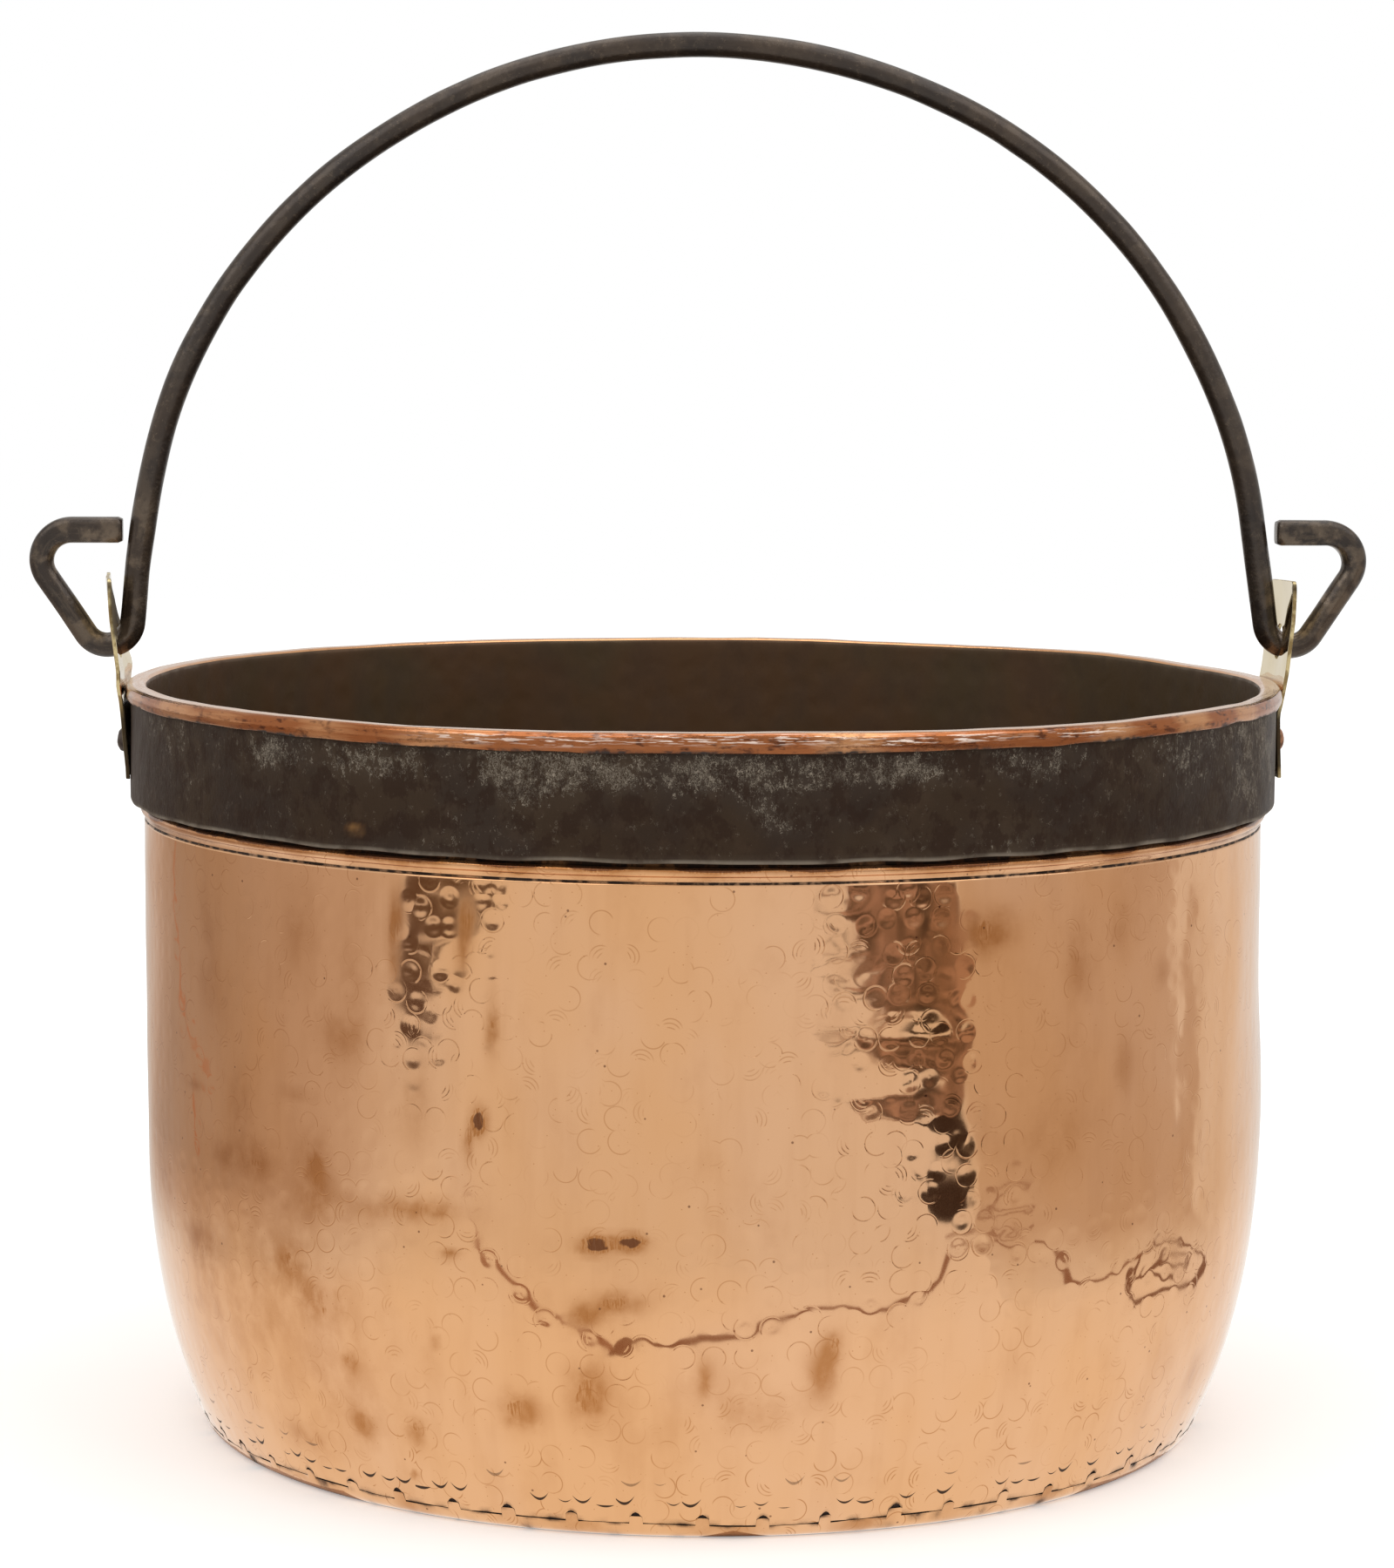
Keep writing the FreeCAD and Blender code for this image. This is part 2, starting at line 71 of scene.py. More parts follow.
def length(name, description, default):
    """A size in metres."""
    return bpy.props.FloatProperty(
        name=name, description=description, default=default, unit="LENGTH", precision=5)


def angle(name, description, degrees):
    """An angle, written here in degrees."""
    return bpy.props.FloatProperty(
        name=name, description=description, default=math.radians(degrees), subtype="ANGLE")


def colour(name, description, default):
    """A colour in linear light."""
    return bpy.props.FloatVectorProperty(
        name=name, description=description, default=default, size=3, min=0.0, max=1.0,
        subtype="COLOR")


class PotSizes(bpy.types.PropertyGroup):
    """Sizes of the copper, the hoop and the rivets."""
    sheet_thick: length("Sheet", "Thickness of the copper sheet", 0.002)
    pot_height: length("Height", "Underside to the top of the rim", 0.360)
    wall_radius: length("Wall radius", "Outside of the straight part of the wall", 0.2705)
    belly_top: length("Belly top", "Height where the wall starts to curve in", 0.130)
    belly_radius: length("Belly radius", "Radius of the curve in profile", 0.313)
    corner_radius: length("Corner radius", "Radius of the corner at the base", 0.009)
    seam_height: length("Seam height", "Top of the base pan between its cramps", 0.0074)
    cramp_rise: length("Cramp rise", "Height of a cramp above the seam", 0.0050)
    cramp_angle: angle("Cramp width", "Width of a cramp about the pot's axis", 1.34)
    cramp_count: bpy.props.IntProperty(
        name="Cramps", description="Cramps round the seam", default=54, min=8)
    bead_height: length("Bead height", "Middle of the bead below the hoop", 0.300)
    bead_radius: length("Bead radius", "Radius of the bead in profile", 0.0025)
    bead_sink: length("Bead sink", "Depth of the bead's centre in the wall", 0.0005)
    crease_height: length("Crease height", "Height of the crease below the bead", 0.295)
    crease_depth: length("Crease depth", "Depth of the crease", 0.0009)
    band_bottom: length("Hoop bottom", "Lower edge of the iron hoop", 0.304)
    band_thick: length("Hoop thickness", "Thickness of the iron hoop", 0.0064)
    hem_bottom: length("Hem bottom", "Lower edge of the copper turned over the hoop", 0.3515)
    hem_bend: length("Hem bend", "Outside radius of the rim's bends", 0.0026)
    mark_size: length("Hammer mark", "Width of a hammer mark", 0.0125)
    mark_depth: length("Mark depth", "Depth of a hammer mark", 0.00004)
    rivet_height: length("Rivet height", "Height of the rivets", 0.3325)
    rivet_angle: angle("Rivet angle", "Half the angle between an ear's rivets", 4.1)
    head_radius: length("Head radius", "Radius of a rivet's head", 0.0056)
    head_rise: length("Head rise", "Height of a rivet's head", 0.0030)


class BailSizes(bpy.types.PropertyGroup):
    """Sizes of the iron bail."""
    rod_radius: length("Rod radius", "Radius of the iron rod", 0.006)
    bail_top: length("Top", "Height of the rod's centre at the top", 0.6652)
    crown_angle: angle("Crown angle", "Angle of the flatter arc each side of the top", 33.9)
    leg_top: length("Leg top", "Height where the straight leg starts", 0.4375)
    leg_lean: angle("Leg lean", "Outward lean of a leg", 8.4)
    heel_across: length("Heel across", "Centre of the bend in the ear, from the axis", 0.2881)
    heel_up: length("Heel up", "Height of the centre of the bend in the ear", 0.3888)
    heel_radius: length("Heel radius", "Radius of the bend in the ear", 0.0124)
    limb_lean: angle("Limb lean", "Outward lean of the hook's limb", 33.7)
    nose_radius: length("Nose radius", "Radius of the hook's upper bend", 0.0145)
    hook_height: length("Hook height", "Height of the rod along the hook's end", 0.432)
    tip_reach: length("Tip reach", "Distance of the hook's tip from the axis", 0.2805)


class PotFinish(bpy.types.PropertyGroup):
    """Colours of the finishes."""
    copper: colour("Copper", "Polished copper", (0.79, 0.435, 0.215))
    copper_pink: colour("Pink copper", "Freshly rubbed copper", (0.81, 0.475, 0.27))
    # Brown and dark copper also paint the shade under the hoop; brown copper also paints shade
    # along the hammer marks' edges and a paper edge's soft reflection.
    copper_brown: colour("Brown copper", "Copper stained by heat", (0.43, 0.165, 0.045))
    copper_dark: colour("Dark copper", "Copper stained nearly black", (0.13, 0.045, 0.022))
    # This dark colour also paints shade under the hoop, in the hoop's pits and in the seam's
    # gaps.
    grime_and_shade: colour("Grime", "Dark dirt in seams and creases", (0.026, 0.013, 0.008))
    lining: colour("Lining", "Dark inside of the pot", (0.100, 0.048, 0.018))
    lining_green: colour("Green lining", "Greener patches inside", (0.080, 0.048, 0.019))
    iron: colour("Iron", "Dark wrought iron of the hoop", (0.040, 0.024, 0.014))
    # The pale iron colour is partly painted highlights on the hoop's grain.
    iron_wear_and_highlight: colour("Worn iron", "Pale wear on the hoop", (0.315, 0.265, 0.205))
    rust: colour("Rust", "Spots of rust", (0.20, 0.10, 0.035))
    rod: colour("Rod", "Dark iron of the bail", (0.047, 0.031, 0.021))
    # The paler rod colour also paints a highlight along the rod's upper and outer side.
    rod_wear_and_highlight: colour("Rubbed rod", "Rubbed iron of the hooks", (0.26, 0.192, 0.130))
    brass: colour("Brass", "Polished brass of the ears", (0.80, 0.68, 0.44))
    brass_edge: colour("Brass edge", "Aged edges of the ears", (0.30, 0.21, 0.09))
    rivet_copper: colour("Copper rivet", "Tarnished copper rivets", (0.42, 0.20, 0.11))
    rivet_iron: colour("Dark rivet", "Dark rivets", (0.07, 0.05, 0.04))


class StageLook(bpy.types.PropertyGroup):
    """The camera's place and the studio's light levels."""
    camera_back: length("Camera back", "Camera's distance in front of the axis", 2.115)
    camera_aside: length("Camera aside", "Camera's distance to the left of the axis", 0.0028)
    camera_up: length("Camera height", "Camera's height", 0.538)
    camera_pitch: angle("Camera pitch", "Downward tilt of the camera", 6.19)
    camera_roll: angle("Camera roll", "Roll of the camera", 0.33)
    pot_turn: angle("Pot's turn", "Turn of the pot's ears from the camera's row", 3.6)
    lens: bpy.props.FloatProperty(
        name="Lens", description="Focal length in millimetres", default=100.0)
    room_level: bpy.props.FloatProperty(
        name="Room level", description="Strength of the even light", default=0.62)
    shine_level: bpy.props.FloatProperty(
        name="Shine level", description="Brightness of the room in reflections", default=0.80)
    lamp_power: bpy.props.FloatProperty(
        name="Lamp power", description="Power of each soft lamp", default=20.0,
        unit="POWER")


def sizes():
    """The pot's sizes."""
    return bpy.context.scene.pot_sizes


class Value:
    """An output in a node tree. Plain arithmetic on it adds Math nodes."""

    def __init__(self, tree, socket):
        self.tree = tree
        self.socket = socket

    def math(self, operation, second=0.0):
        """Add a Math node with this value first."""
        return self.tree.put("Math", {0: self, 1: second}, operation=operation)

    def __add__(self, other):
        return self.math("ADD", other)

    def __sub__(self, other):
        return self.math("SUBTRACT", other)

    def __mul__(self, other):
        return self.math("MULTIPLY", other)

    def __truediv__(self, other):
        return self.math("DIVIDE", other)

    def __rsub__(self, other):
        return self.tree.put("Math", {0: other, 1: self}, operation="SUBTRACT")

    def __rtruediv__(self, other):
        return self.tree.put("Math", {0: other, 1: self}, operation="DIVIDE")

    def __abs__(self):
        return self.math("ABSOLUTE")

    def larger(self, other):
        """The larger of two values."""
        return self.math("MAXIMUM", other)

    def clamped(self):
        """The same value, held between nought and one."""
        self.socket.node.use_clamp = True
        return self

    def ranged(self, low, high, bottom=0.0, top=1.0):
        """Map the value from one range to another, smoothly."""
        return self.tree.put("MapRange", {0: self, 1: low, 2: high, 3: bottom, 4: top},
                             interpolation_type="SMOOTHSTEP")


class Tree:
    """A node tree with short ways to add nodes. Its end is the node that takes the result."""

    def __init__(self, tree, end):
        self.nodes = tree.nodes
        self.links = tree.links
        self.end = self.nodes.new(end)

    def feed(self, source, socket):
        """Link a value to an input, or set the input to a number or a colour."""
        if isinstance(source, Value):
            self.links.new(source.socket, socket)
        elif socket.type == "RGBA":
            socket.default_value = (*source[:3], 1.0)
        else:
            socket.default_value = source

    def put(self, kind, inputs=None, out=0, **settings):
        """Add a shader node, set its options, feed its inputs and give an output of it, or
        a list of them where several are asked for."""
        item = self.nodes.new("ShaderNode" + kind)
        for key, setting in settings.items():
            setattr(item, key, setting)
        for key, source in (inputs or {}).items():
            self.feed(source, item.inputs[key])
        if isinstance(out, tuple):
            return [Value(self, item.outputs[key]) for key in out]
        return Value(self, item.outputs[out])

    def give(self, **values):
        """Feed the end's inputs, named with underscores for spaces."""
        for key, source in values.items():
            self.feed(source, self.end.inputs[key.replace("_", " ")])

    def effect(self, name, *values, out=0):
        """Place a shared effect, with its own values in the order of its inputs."""
        group = bpy.data.node_groups[name]
        return self.put("Group", dict(enumerate(values)), out, node_tree=group)

    def mottle(self, patch, low, high, stretch=1.0, detail=3.0):
        """Soft patches of a size in metres, between two thresholds."""
        return self.effect("soft mottle", patch, stretch, low, high, detail)

    def streaks(self, across, along, low, high):
        """Drawn streaks of two sizes in metres, between two thresholds."""
        return self.effect("drawn streaks", across, along, low, high)

    def flecks(self, size, coverage, stretch=1.0):
        """Fine flecks of a size in metres."""
        return self.effect("fine flecks", size, stretch, coverage)

    def vector(self, operation, first, second=(0.0, 0.0, 0.0)):
        """Add a Vector Math node."""
        key = "Scale" if operation == "SCALE" else 1
        out = "Value" if operation in ("DOT_PRODUCT", "LENGTH") else 0
        return self.put("VectorMath", {0: first, key: second}, out, operation=operation)

    def noise(self, place, scale, detail=2.0, roughness=0.5, twist=0.0, **more):
        """Noise over a flat map with noise_dimensions 2D, or else over a place."""
        return self.put("TexNoise", {"Vector": place, "Scale": scale, "Detail": detail,
                                     "Roughness": roughness, "Distortion": twist}, **more)

    def place(self):
        """Place in the piece's own metres."""
        return self.put("TexCoord", out="Object")

    def squeezed(self, stretch):
        """Place in the piece's own metres, with its height shortened by a factor."""
        scale = self.put("CombineXYZ", {0: 1.0, 1: 1.0, 2: 1.0 / stretch})
        return self.vector("MULTIPLY", self.place(), scale)

    def sheet(self):
        """Place on the sheet's own flat map, which runs round the pot and up, in metres."""
        return self.put("UVMap", uv_map="sheet")

    def mask(self, name):
        """Read a mask that the mesh carries."""
        return self.put("Attribute", out="Fac", attribute_type="GEOMETRY", attribute_name=name)

    def blend(self, amount, first, second):
        """Mix two colours by an amount."""
        return self.put("Mix", {0: amount, 6: first, 7: second}, 2, data_type="RGBA")

    def layered(self, base, *layers):
        """Lay colours over a base, each by its own amount."""
        for amount, tint in layers:
            base = self.blend(amount, base, tint)
        return base

    def bump(self, height, distance):
        """Feed a height to the shader's normal."""
        self.give(Normal=self.put("Bump", {
            "Strength": 1.0, "Distance": distance, "Height": height}))


def new_effect(name, inputs, outputs=("Mask",)):
    """Start a shared effect: a node group with float inputs and outputs. Gives its tree and
    the values that it is given."""
    group = bpy.data.node_groups.new(name, "ShaderNodeTree")
    for label, default in inputs.items():
        group.interface.new_socket(name=label, in_out="INPUT", socket_type="NodeSocketFloat"
                                   ).default_value = default
    for label in outputs:
        group.interface.new_socket(name=label, in_out="OUTPUT", socket_type="NodeSocketFloat")
    tree = Tree(group, "NodeGroupOutput")
    given = tree.nodes.new("NodeGroupInput").outputs
    return tree, [Value(tree, given[label]) for label in inputs]


def thin_ring(near, width, thick, full=0.0):
    """A line where a distance equals a width, at its full strength up to a part of it."""
    return 1.0 - abs(near - width).ranged(full, thick)


def make_mottle():
    """Soft patches: a mask that rises where broad noise passes a threshold."""
    tree, (patch, stretch, low, high, detail) = new_effect("soft mottle", {
        "Patch size": 0.05, "Stretch": 1.0, "Low": 0.4, "High": 0.6, "Detail": 3.0})
    noise = tree.noise(tree.squeezed(stretch), 1.0 / patch, detail, 0.55)
    tree.give(Mask=noise.ranged(low, high))


def make_flecks():
    """Fine flecks: short thin veins that gather where their coverage is high."""
    tree, (size, stretch, coverage) = new_effect("fine flecks", {
        "Fleck size": 0.001, "Stretch": 1.0, "Coverage": 0.3})
    place = tree.squeezed(stretch)
    fineness = 1.0 / size
    vein = thin_ring(tree.noise(place, fineness, 2.0, 0.6, 1.0), 0.5, 0.046, 0.008)
    gather = tree.noise(place, fineness * 0.42, 3.0, 0.6)
    edge = 0.74 - coverage * 0.44
    tree.give(Mask=vein * gather.ranged(edge, edge + 0.09))


def make_specks():
    """Pin specks: small round spots, some cells of a lattice keeping one each."""
    tree, (spacing, width) = new_effect("pin specks", {"Spacing": 0.006, "Width": 0.10})
    near = tree.put("TexVoronoi", {"Vector": tree.place(), "Scale": 1.0 / spacing}, "Distance")
    tree.give(Mask=near.ranged(width, width * 0.6))


def make_streaks():
    """Streaks drawn along or across the sheet's own map."""
    tree, (across, along, low, high) = new_effect("drawn streaks", {
        "Across": 0.001, "Along": 0.01, "Low": 0.42, "High": 0.62})
    scale = tree.put("CombineXYZ", {0: 1.0 / across, 1: 1.0 / along})
    place = tree.vector("MULTIPLY", tree.sheet(), scale)
    noise = tree.noise(place, 1.0, 3.0, 0.6, noise_dimensions="2D")
    tree.give(Mask=noise.ranged(low, high))


def make_hammer_marks():
    """Hammer marks on sheet: shallow round dishes in rows. Some show a part of their edge
    as an arc, and a few as several arcs side by side."""
    tree, (size, shown) = new_effect("hammer marks", {"Mark size": 0.0125, "Shown": 0.6},
                                     ("Dish", "Ring"))
    sheet = tree.sheet()
    fineness = 1.0 / size
    rings = []
    dishes = []
    for shift, looseness, width in ((0.0, 0.34, 0.42), (0.37, 0.62, 0.43)):
        moved = tree.vector("ADD", sheet, (shift, shift * 0.6, 0.0))
        spread = tree.vector("SCALE", moved, fineness)
        near, hue, middle = tree.put(
            "TexVoronoi", {"Vector": spread, "Scale": 1.0, "Randomness": looseness},
            ("Distance", "Color", "Position"), voronoi_dimensions="2D")
        spin, luck, kind = tree.put("SeparateColor", {0: hue}, (0, 1, 2))
        turn = spin * FULL_TURN
        aim = tree.put("CombineXYZ", {0: turn.math("COSINE"), 1: turn.math("SINE")})
        offset = tree.vector("SUBTRACT", spread, middle)
        facing = tree.vector("DOT_PRODUCT", offset, aim) / near.larger(0.05)
        low = kind * 1.5 - 1.05
        ring = thin_ring(near, width, 0.036) * facing.ranged(low, low + 0.5)
        narrow = facing.ranged(0.35, 0.75) * kind.math("GREATER_THAN", 0.72)
        for step in (0.16, 0.32):
            away = tree.vector("ADD", offset, tree.vector("SCALE", aim, step))
            reach = tree.vector("LENGTH", away)
            ring = ring.larger(thin_ring(reach, width, 0.035) * narrow)
        rings.append(ring * luck.math("LESS_THAN", shown))
        dishes.append(near.ranged(0.05, width))
    drift = tree.noise(sheet, 19.0, 3.0, noise_dimensions="2D")
    kept = drift.ranged(0.44, 0.56)
    rest = 1.0 - kept
    level = tree.noise(sheet, 31.0, noise_dimensions="2D").ranged(0.36, 0.60, 0.15, 1.0)
    tree.give(Dish=dishes[0] * kept + dishes[1] * rest,
              Ring=(rings[0] * kept).larger(rings[1] * rest) * level)


def make_scallops():
    """A row of short dark arcs, open upward, at one height on the sheet's own map."""
    tree, (row, pitch, kept) = new_effect("dark scallops", {
        "Row height": 0.016, "Pitch": 0.0105, "Kept": 0.5})
    around, up = tree.put("SeparateXYZ", {0: tree.sheet()}, (0, 1))
    run = around / pitch
    number = run.math("FLOOR")
    hue = tree.put("TexWhiteNoise", {"W": number + row * 1000.0}, "Color",
                   noise_dimensions="1D")
    lift, wander, luck = tree.put("SeparateColor", {0: hue}, (0, 1, 2))
    across = (run - number - 0.5 + (wander - 0.5) * 0.35) * pitch
    bowl = across * across
    line = row + ((lift - 0.5) * 0.0022 + bowl * lift.ranged(0.0, 1.0, 30.0, 150.0))
    half = wander * 0.0006 + 0.0002 - bowl * 26.0
    mark = (half - abs(up - line)).ranged(-0.0001, 0.0001)
    tree.give(Mask=mark * luck.math("LESS_THAN", kept))


def make_forged_grain():
    """Forged surface: low scale pits over a broad unevenness, as a height."""
    tree, (size, stretch) = new_effect("forged grain", {"Pit size": 0.002, "Stretch": 1.0},
                                       ("Height",))
    fineness = 1.0 / size
    fine = tree.noise(tree.squeezed(stretch), fineness, 4.0, 0.6)
    broad = tree.noise(tree.place(), fineness * 0.16)
    tree.give(Height=fine * 0.55 + broad * 1.2)


def start_nodes(owner, output="ShaderNodeOutputMaterial"):
    """Clear the nodes of a material or world and give its tree, which ends in its output."""
    owner.use_nodes = True
    owner.node_tree.nodes.clear()
    return Tree(owner.node_tree, output)


def start_finish(name):
    """A new material with only its Principled shader and output, as a tree that ends in
    the shader."""
    tree = start_nodes(bpy.data.materials.new(name))
    output = tree.end
    tree.end = tree.nodes.new("ShaderNodeBsdfPrincipled")
    tree.links.new(tree.end.outputs[0], output.inputs[0])
    return tree


def copper_finish(look):
    """Polished hammered copper with brown heat stains, dark specks, grimy seams and painted
    shade.
    """
    tree = start_finish("polished copper")
    dish, ring = tree.effect("hammer marks", sizes().mark_size, 0.75, out=("Dish", "Ring"))
    broad = tree.mottle(0.11, 0.38, 0.66, 1.6)
    close = tree.mottle(0.030, 0.50, 0.76, 1.5, 5.0)
    wisps = tree.mottle(0.005, 0.30, 0.70, 1.6, 6.0)
    clouds = tree.mottle(0.013, 0.34, 0.66, 1.3, 6.0)
    brush = tree.streaks(0.0009, 0.0075, 0.34, 0.60)
    drawn = tree.streaks(0.016, 0.11, 0.46, 0.74)
    # Besides heat stains, this mask paints the shade just under the hoop and the soft reflected
    # shade of a paper edge.
    amount = tree.mask("stain_and_shade")
    edged = amount + (wisps - 0.5) * 0.34
    crisp = edged.ranged(0.60, 0.80) * (brush * 0.48 + 0.42)
    soft = amount.math("MINIMUM", 0.62) * (clouds * 0.80 + 0.55)
    stain_and_shade = crisp.larger(soft).clamped()
    up = tree.put("SeparateXYZ", {0: tree.place()}, 2)
    specks = tree.effect("pin specks", 0.0040, 0.095)
    dots = tree.effect("pin specks", 0.013, 0.055)
    low_row = tree.effect("dark scallops", 0.0163, 0.0105, 0.62)
    high_row = tree.effect("dark scallops", 0.0265, 0.0110, 0.30)
    # Besides grimy seams, this mask paints the shade just under and behind the hoop, and darkens
    # the crease.
    dirt_and_shade = (tree.mask("grime_and_shade") * (wisps * 0.8 + 0.62)).clamped()
    dirt_and_shade = dirt_and_shade.larger(low_row * 0.95).larger(high_row * 0.45)
    # The hammer marks' arcs are painted shade along one side of their edges, stronger low on the
    # wall.
    base = tree.layered(
        look.copper, (broad, look.copper_pink),
        (close * 0.16 + drawn * 0.08, look.copper_brown), (stain_and_shade, look.copper_brown),
        (edged.ranged(1.02, 1.22) * 0.85, look.copper_dark),
        (ring * up.ranged(0.075, 0.035, 0.50, 0.78), look.copper_brown),
        (specks * 0.45, look.copper_brown), (dots * 0.7, look.copper_dark),
        (dirt_and_shade, look.grime_and_shade))
    tree.give(Base_Color=base, Metallic=1.0 - dirt_and_shade * 0.85, Specular_IOR_Level=0.15,
              Roughness=close * 0.06 + 0.050 + stain_and_shade * 0.20 + dirt_and_shade * 0.45)
    tree.bump(dish - ring * 0.7, 0.00005)


def rim_finish(look):
    """The copper of the turned rim: browner, with long thin streaks along its lip, painted
    highlights on its front and a darker lower edge.
    """
    tree = start_finish("worn copper rim")
    long_streaks = tree.streaks(0.035, 0.0020, 0.36, 0.70)
    blotches = tree.streaks(0.012, 0.0030, 0.50, 0.66)
    glints = tree.streaks(0.013, 0.0009, 0.53, 0.60)
    wisps = tree.mottle(0.004, 0.34, 0.66, detail=6.0)
    amount = tree.mask("stain_and_shade")
    brown = (amount * (long_streaks * 0.28 + 0.76)).clamped()
    marks = (blotches * wisps * (amount * 0.9)).clamped()
    # Painted highlights along the lip's front.
    shine = (glints * tree.mask("rub_and_highlight")).clamped()
    dirt_and_shade = (tree.mask("grime_and_shade") * (wisps + 0.5)).clamped()
    base = tree.layered(look.copper, (brown, (0.35, 0.122, 0.046)), (marks, look.copper_dark),
                        (shine, (1.0, 0.82, 0.72)), (dirt_and_shade, look.grime_and_shade))
    tree.give(Base_Color=base, Metallic=1.0 - dirt_and_shade * 0.8,
              Roughness=long_streaks * 0.10 + dirt_and_shade * 0.4 + 0.10)
    tree.bump(wisps + blotches, 0.00003)


def lining_finish(look):
    """The dark, dull inside of the pot."""
    tree = start_finish("dark lining")
    dish = tree.effect("hammer marks", 0.018, out="Dish")
    broad = tree.mottle(0.07, 0.36, 0.64, 1.4)
    close = tree.mottle(0.016, 0.35, 0.70, 1.6, 5.0)
    drawn = tree.streaks(0.060, 0.09, 0.40, 0.70)
    base = tree.layered(look.lining, (broad, look.lining_green),
                        (drawn * 0.12, (0.135, 0.070, 0.030)), (close * 0.30, look.grime_and_shade))
    tree.give(Base_Color=base, Metallic=0.35, Roughness=close * 0.2 + 0.42)
    tree.bump(dish, 0.00012)


def hoop_finish(look):
    """Dark wrought iron with pale flecks, partly worn places and partly painted highlights,
    thickest along its upper half, and painted shade in its pits.
    """
    tree = start_finish("worn hoop iron")
    broad = tree.mottle(0.05, 0.40, 0.62)
    clouds = tree.mottle(0.022, 0.36, 0.64, detail=5.0)
    warm = tree.mottle(0.009, 0.50, 0.75, detail=4.0)
    gather = (tree.mask("wear_and_highlight") * (clouds * 0.45 + 0.58)).clamped()
    rub_and_highlight = (tree.mask("edge") * (clouds * 0.45 + 0.15)).clamped()
    flecks = tree.flecks(0.0014, gather, 1.5)
    fine = tree.flecks(0.0009, gather * 0.9, 1.3)
    dust_and_highlight = tree.flecks(0.0016, 0.36)
    pale = (flecks * 0.90).larger(fine * 0.75)
    grain = tree.effect("forged grain", 0.0016, 1.8)
    # The pale flecks and specks are partly painted highlights on the grain; its pits are darkened
    # as painted shade.
    base = tree.layered(
        look.iron, (broad, (0.032, 0.020, 0.014)), (warm * 0.25, (0.070, 0.043, 0.027)),
        (gather * 0.08, look.iron_wear_and_highlight), (dust_and_highlight * 0.22, look.iron_wear_and_highlight), (pale, look.iron_wear_and_highlight),
        (grain.ranged(0.92, 0.74, 0.0, 0.65), look.grime_and_shade), (rub_and_highlight, look.iron_wear_and_highlight),
        (tree.mask("rust"), look.rust))
    tree.give(Base_Color=base, Metallic=0.0, Specular_IOR_Level=0.06,
              Roughness=0.52 - broad * 0.10)
    tree.bump(grain + pale * 0.25, 0.00055)


def rod_finish(look):
    """Dark satin iron, rubbed paler in patches and along the hooks, with a painted highlight
    along its upper and outer side.
    """
    tree = start_finish("satin rod iron")
    broad = tree.mottle(0.05, 0.35, 0.65)
    clouds = tree.mottle(0.012, 0.44, 0.60, detail=6.0)
    long_rub = tree.streaks(0.0022, 0.020, 0.50, 0.64)
    # Worn patches, and along the rod's upper and outer side a painted highlight.
    rub_and_highlight = (tree.mask("wear_and_highlight") * clouds.larger(long_rub * 0.35)).clamped()
    flecks = tree.flecks(0.0014, 0.45)
    base = tree.layered(look.rod, (broad, (0.028, 0.020, 0.016)),
                        (rub_and_highlight * 0.62, look.rod_wear_and_highlight), (flecks * 0.28, look.rod_wear_and_highlight))
    tree.give(Base_Color=base, Metallic=0.45, Specular_IOR_Level=0.60,
              Roughness=0.29 - rub_and_highlight * 0.12)
    tree.bump(tree.effect("forged grain", 0.0022), 0.0003)


def brass_finish(look):
    """Polished brass, tarnished and dull where the ear carries that mask, which also paints the
    rod's dark reflection on the left ear.
    """
    tree = start_finish("polished brass")
    clouds = tree.mottle(0.012, 0.40, 0.70, detail=5.0)
    tarnish = tree.mask("tarnish")
    base = tree.layered(look.brass, (clouds * 0.10, look.brass_edge),
                        (tarnish * 0.92, (0.080, 0.054, 0.030)))
    tree.give(Base_Color=base, Metallic=1.0 - tarnish * 0.9, Specular_IOR_Level=0.2,
              Roughness=(clouds * 0.04).larger(tarnish * 0.75) + 0.02)


def brass_edge_finish(look):
    """The ears' sawn and aged edges."""
    tree = start_finish("aged brass edge")
    clouds = tree.mottle(0.008, 0.42, 0.60, detail=5.0)
    base = tree.layered(look.brass_edge, (clouds, (0.72, 0.60, 0.33)),
                        # The mask also paints the rod's dark reflection near the left ear's inner
                        # face.
                        (tree.mask("tarnish") * 0.95, (0.040, 0.026, 0.014)))
    tree.give(Base_Color=base, Metallic=0.9, Roughness=clouds * 0.15 + 0.28)
    tree.bump(tree.effect("forged grain", 0.0015), 0.00012)


def rivet_finish(look, name, tint, metal, dull):
    """A rivet's tarnished metal."""
    tree = start_finish(name)
    clouds = tree.mottle(0.004, 0.40, 0.65, detail=4.0)
    tree.give(Base_Color=tree.blend(clouds * 0.6, tint, look.grime_and_shade), Metallic=metal,
              Roughness=clouds * 0.2 + dull)
    tree.bump(tree.effect("forged grain", 0.0015), 0.00015)


def seam_dirt_and_shade_finish(look):
    """Dirt and old solder inside the seam, and painted shade there."""
    tree = start_finish("seam dirt")
    clouds = tree.mottle(0.004, 0.4, 0.6)
    tree.give(Base_Color=tree.blend(clouds, look.grime_and_shade, (0.035, 0.018, 0.012)), Roughness=0.9)


def link_object(name, data):
    """Put a new object in the scene."""
    item = bpy.data.objects.new(name, data)
    bpy.context.scene.collection.objects.link(item)
    return item


def angle_gap(first, second):
    """The signed angle from one direction to another, the short way round."""
    return (first - second + math.pi) % FULL_TURN - math.pi


def rising(value, start, run, lowest=0.0):
    """Straight up from nought at a start to one after a run; a run below nought falls."""
    return np.clip((value - start) / run, lowest, 1)


def bell(value, middle, width, power=2):
    """One at a middle, falling away smoothly on both sides."""
    return np.exp(-((value - middle) / width) ** power)


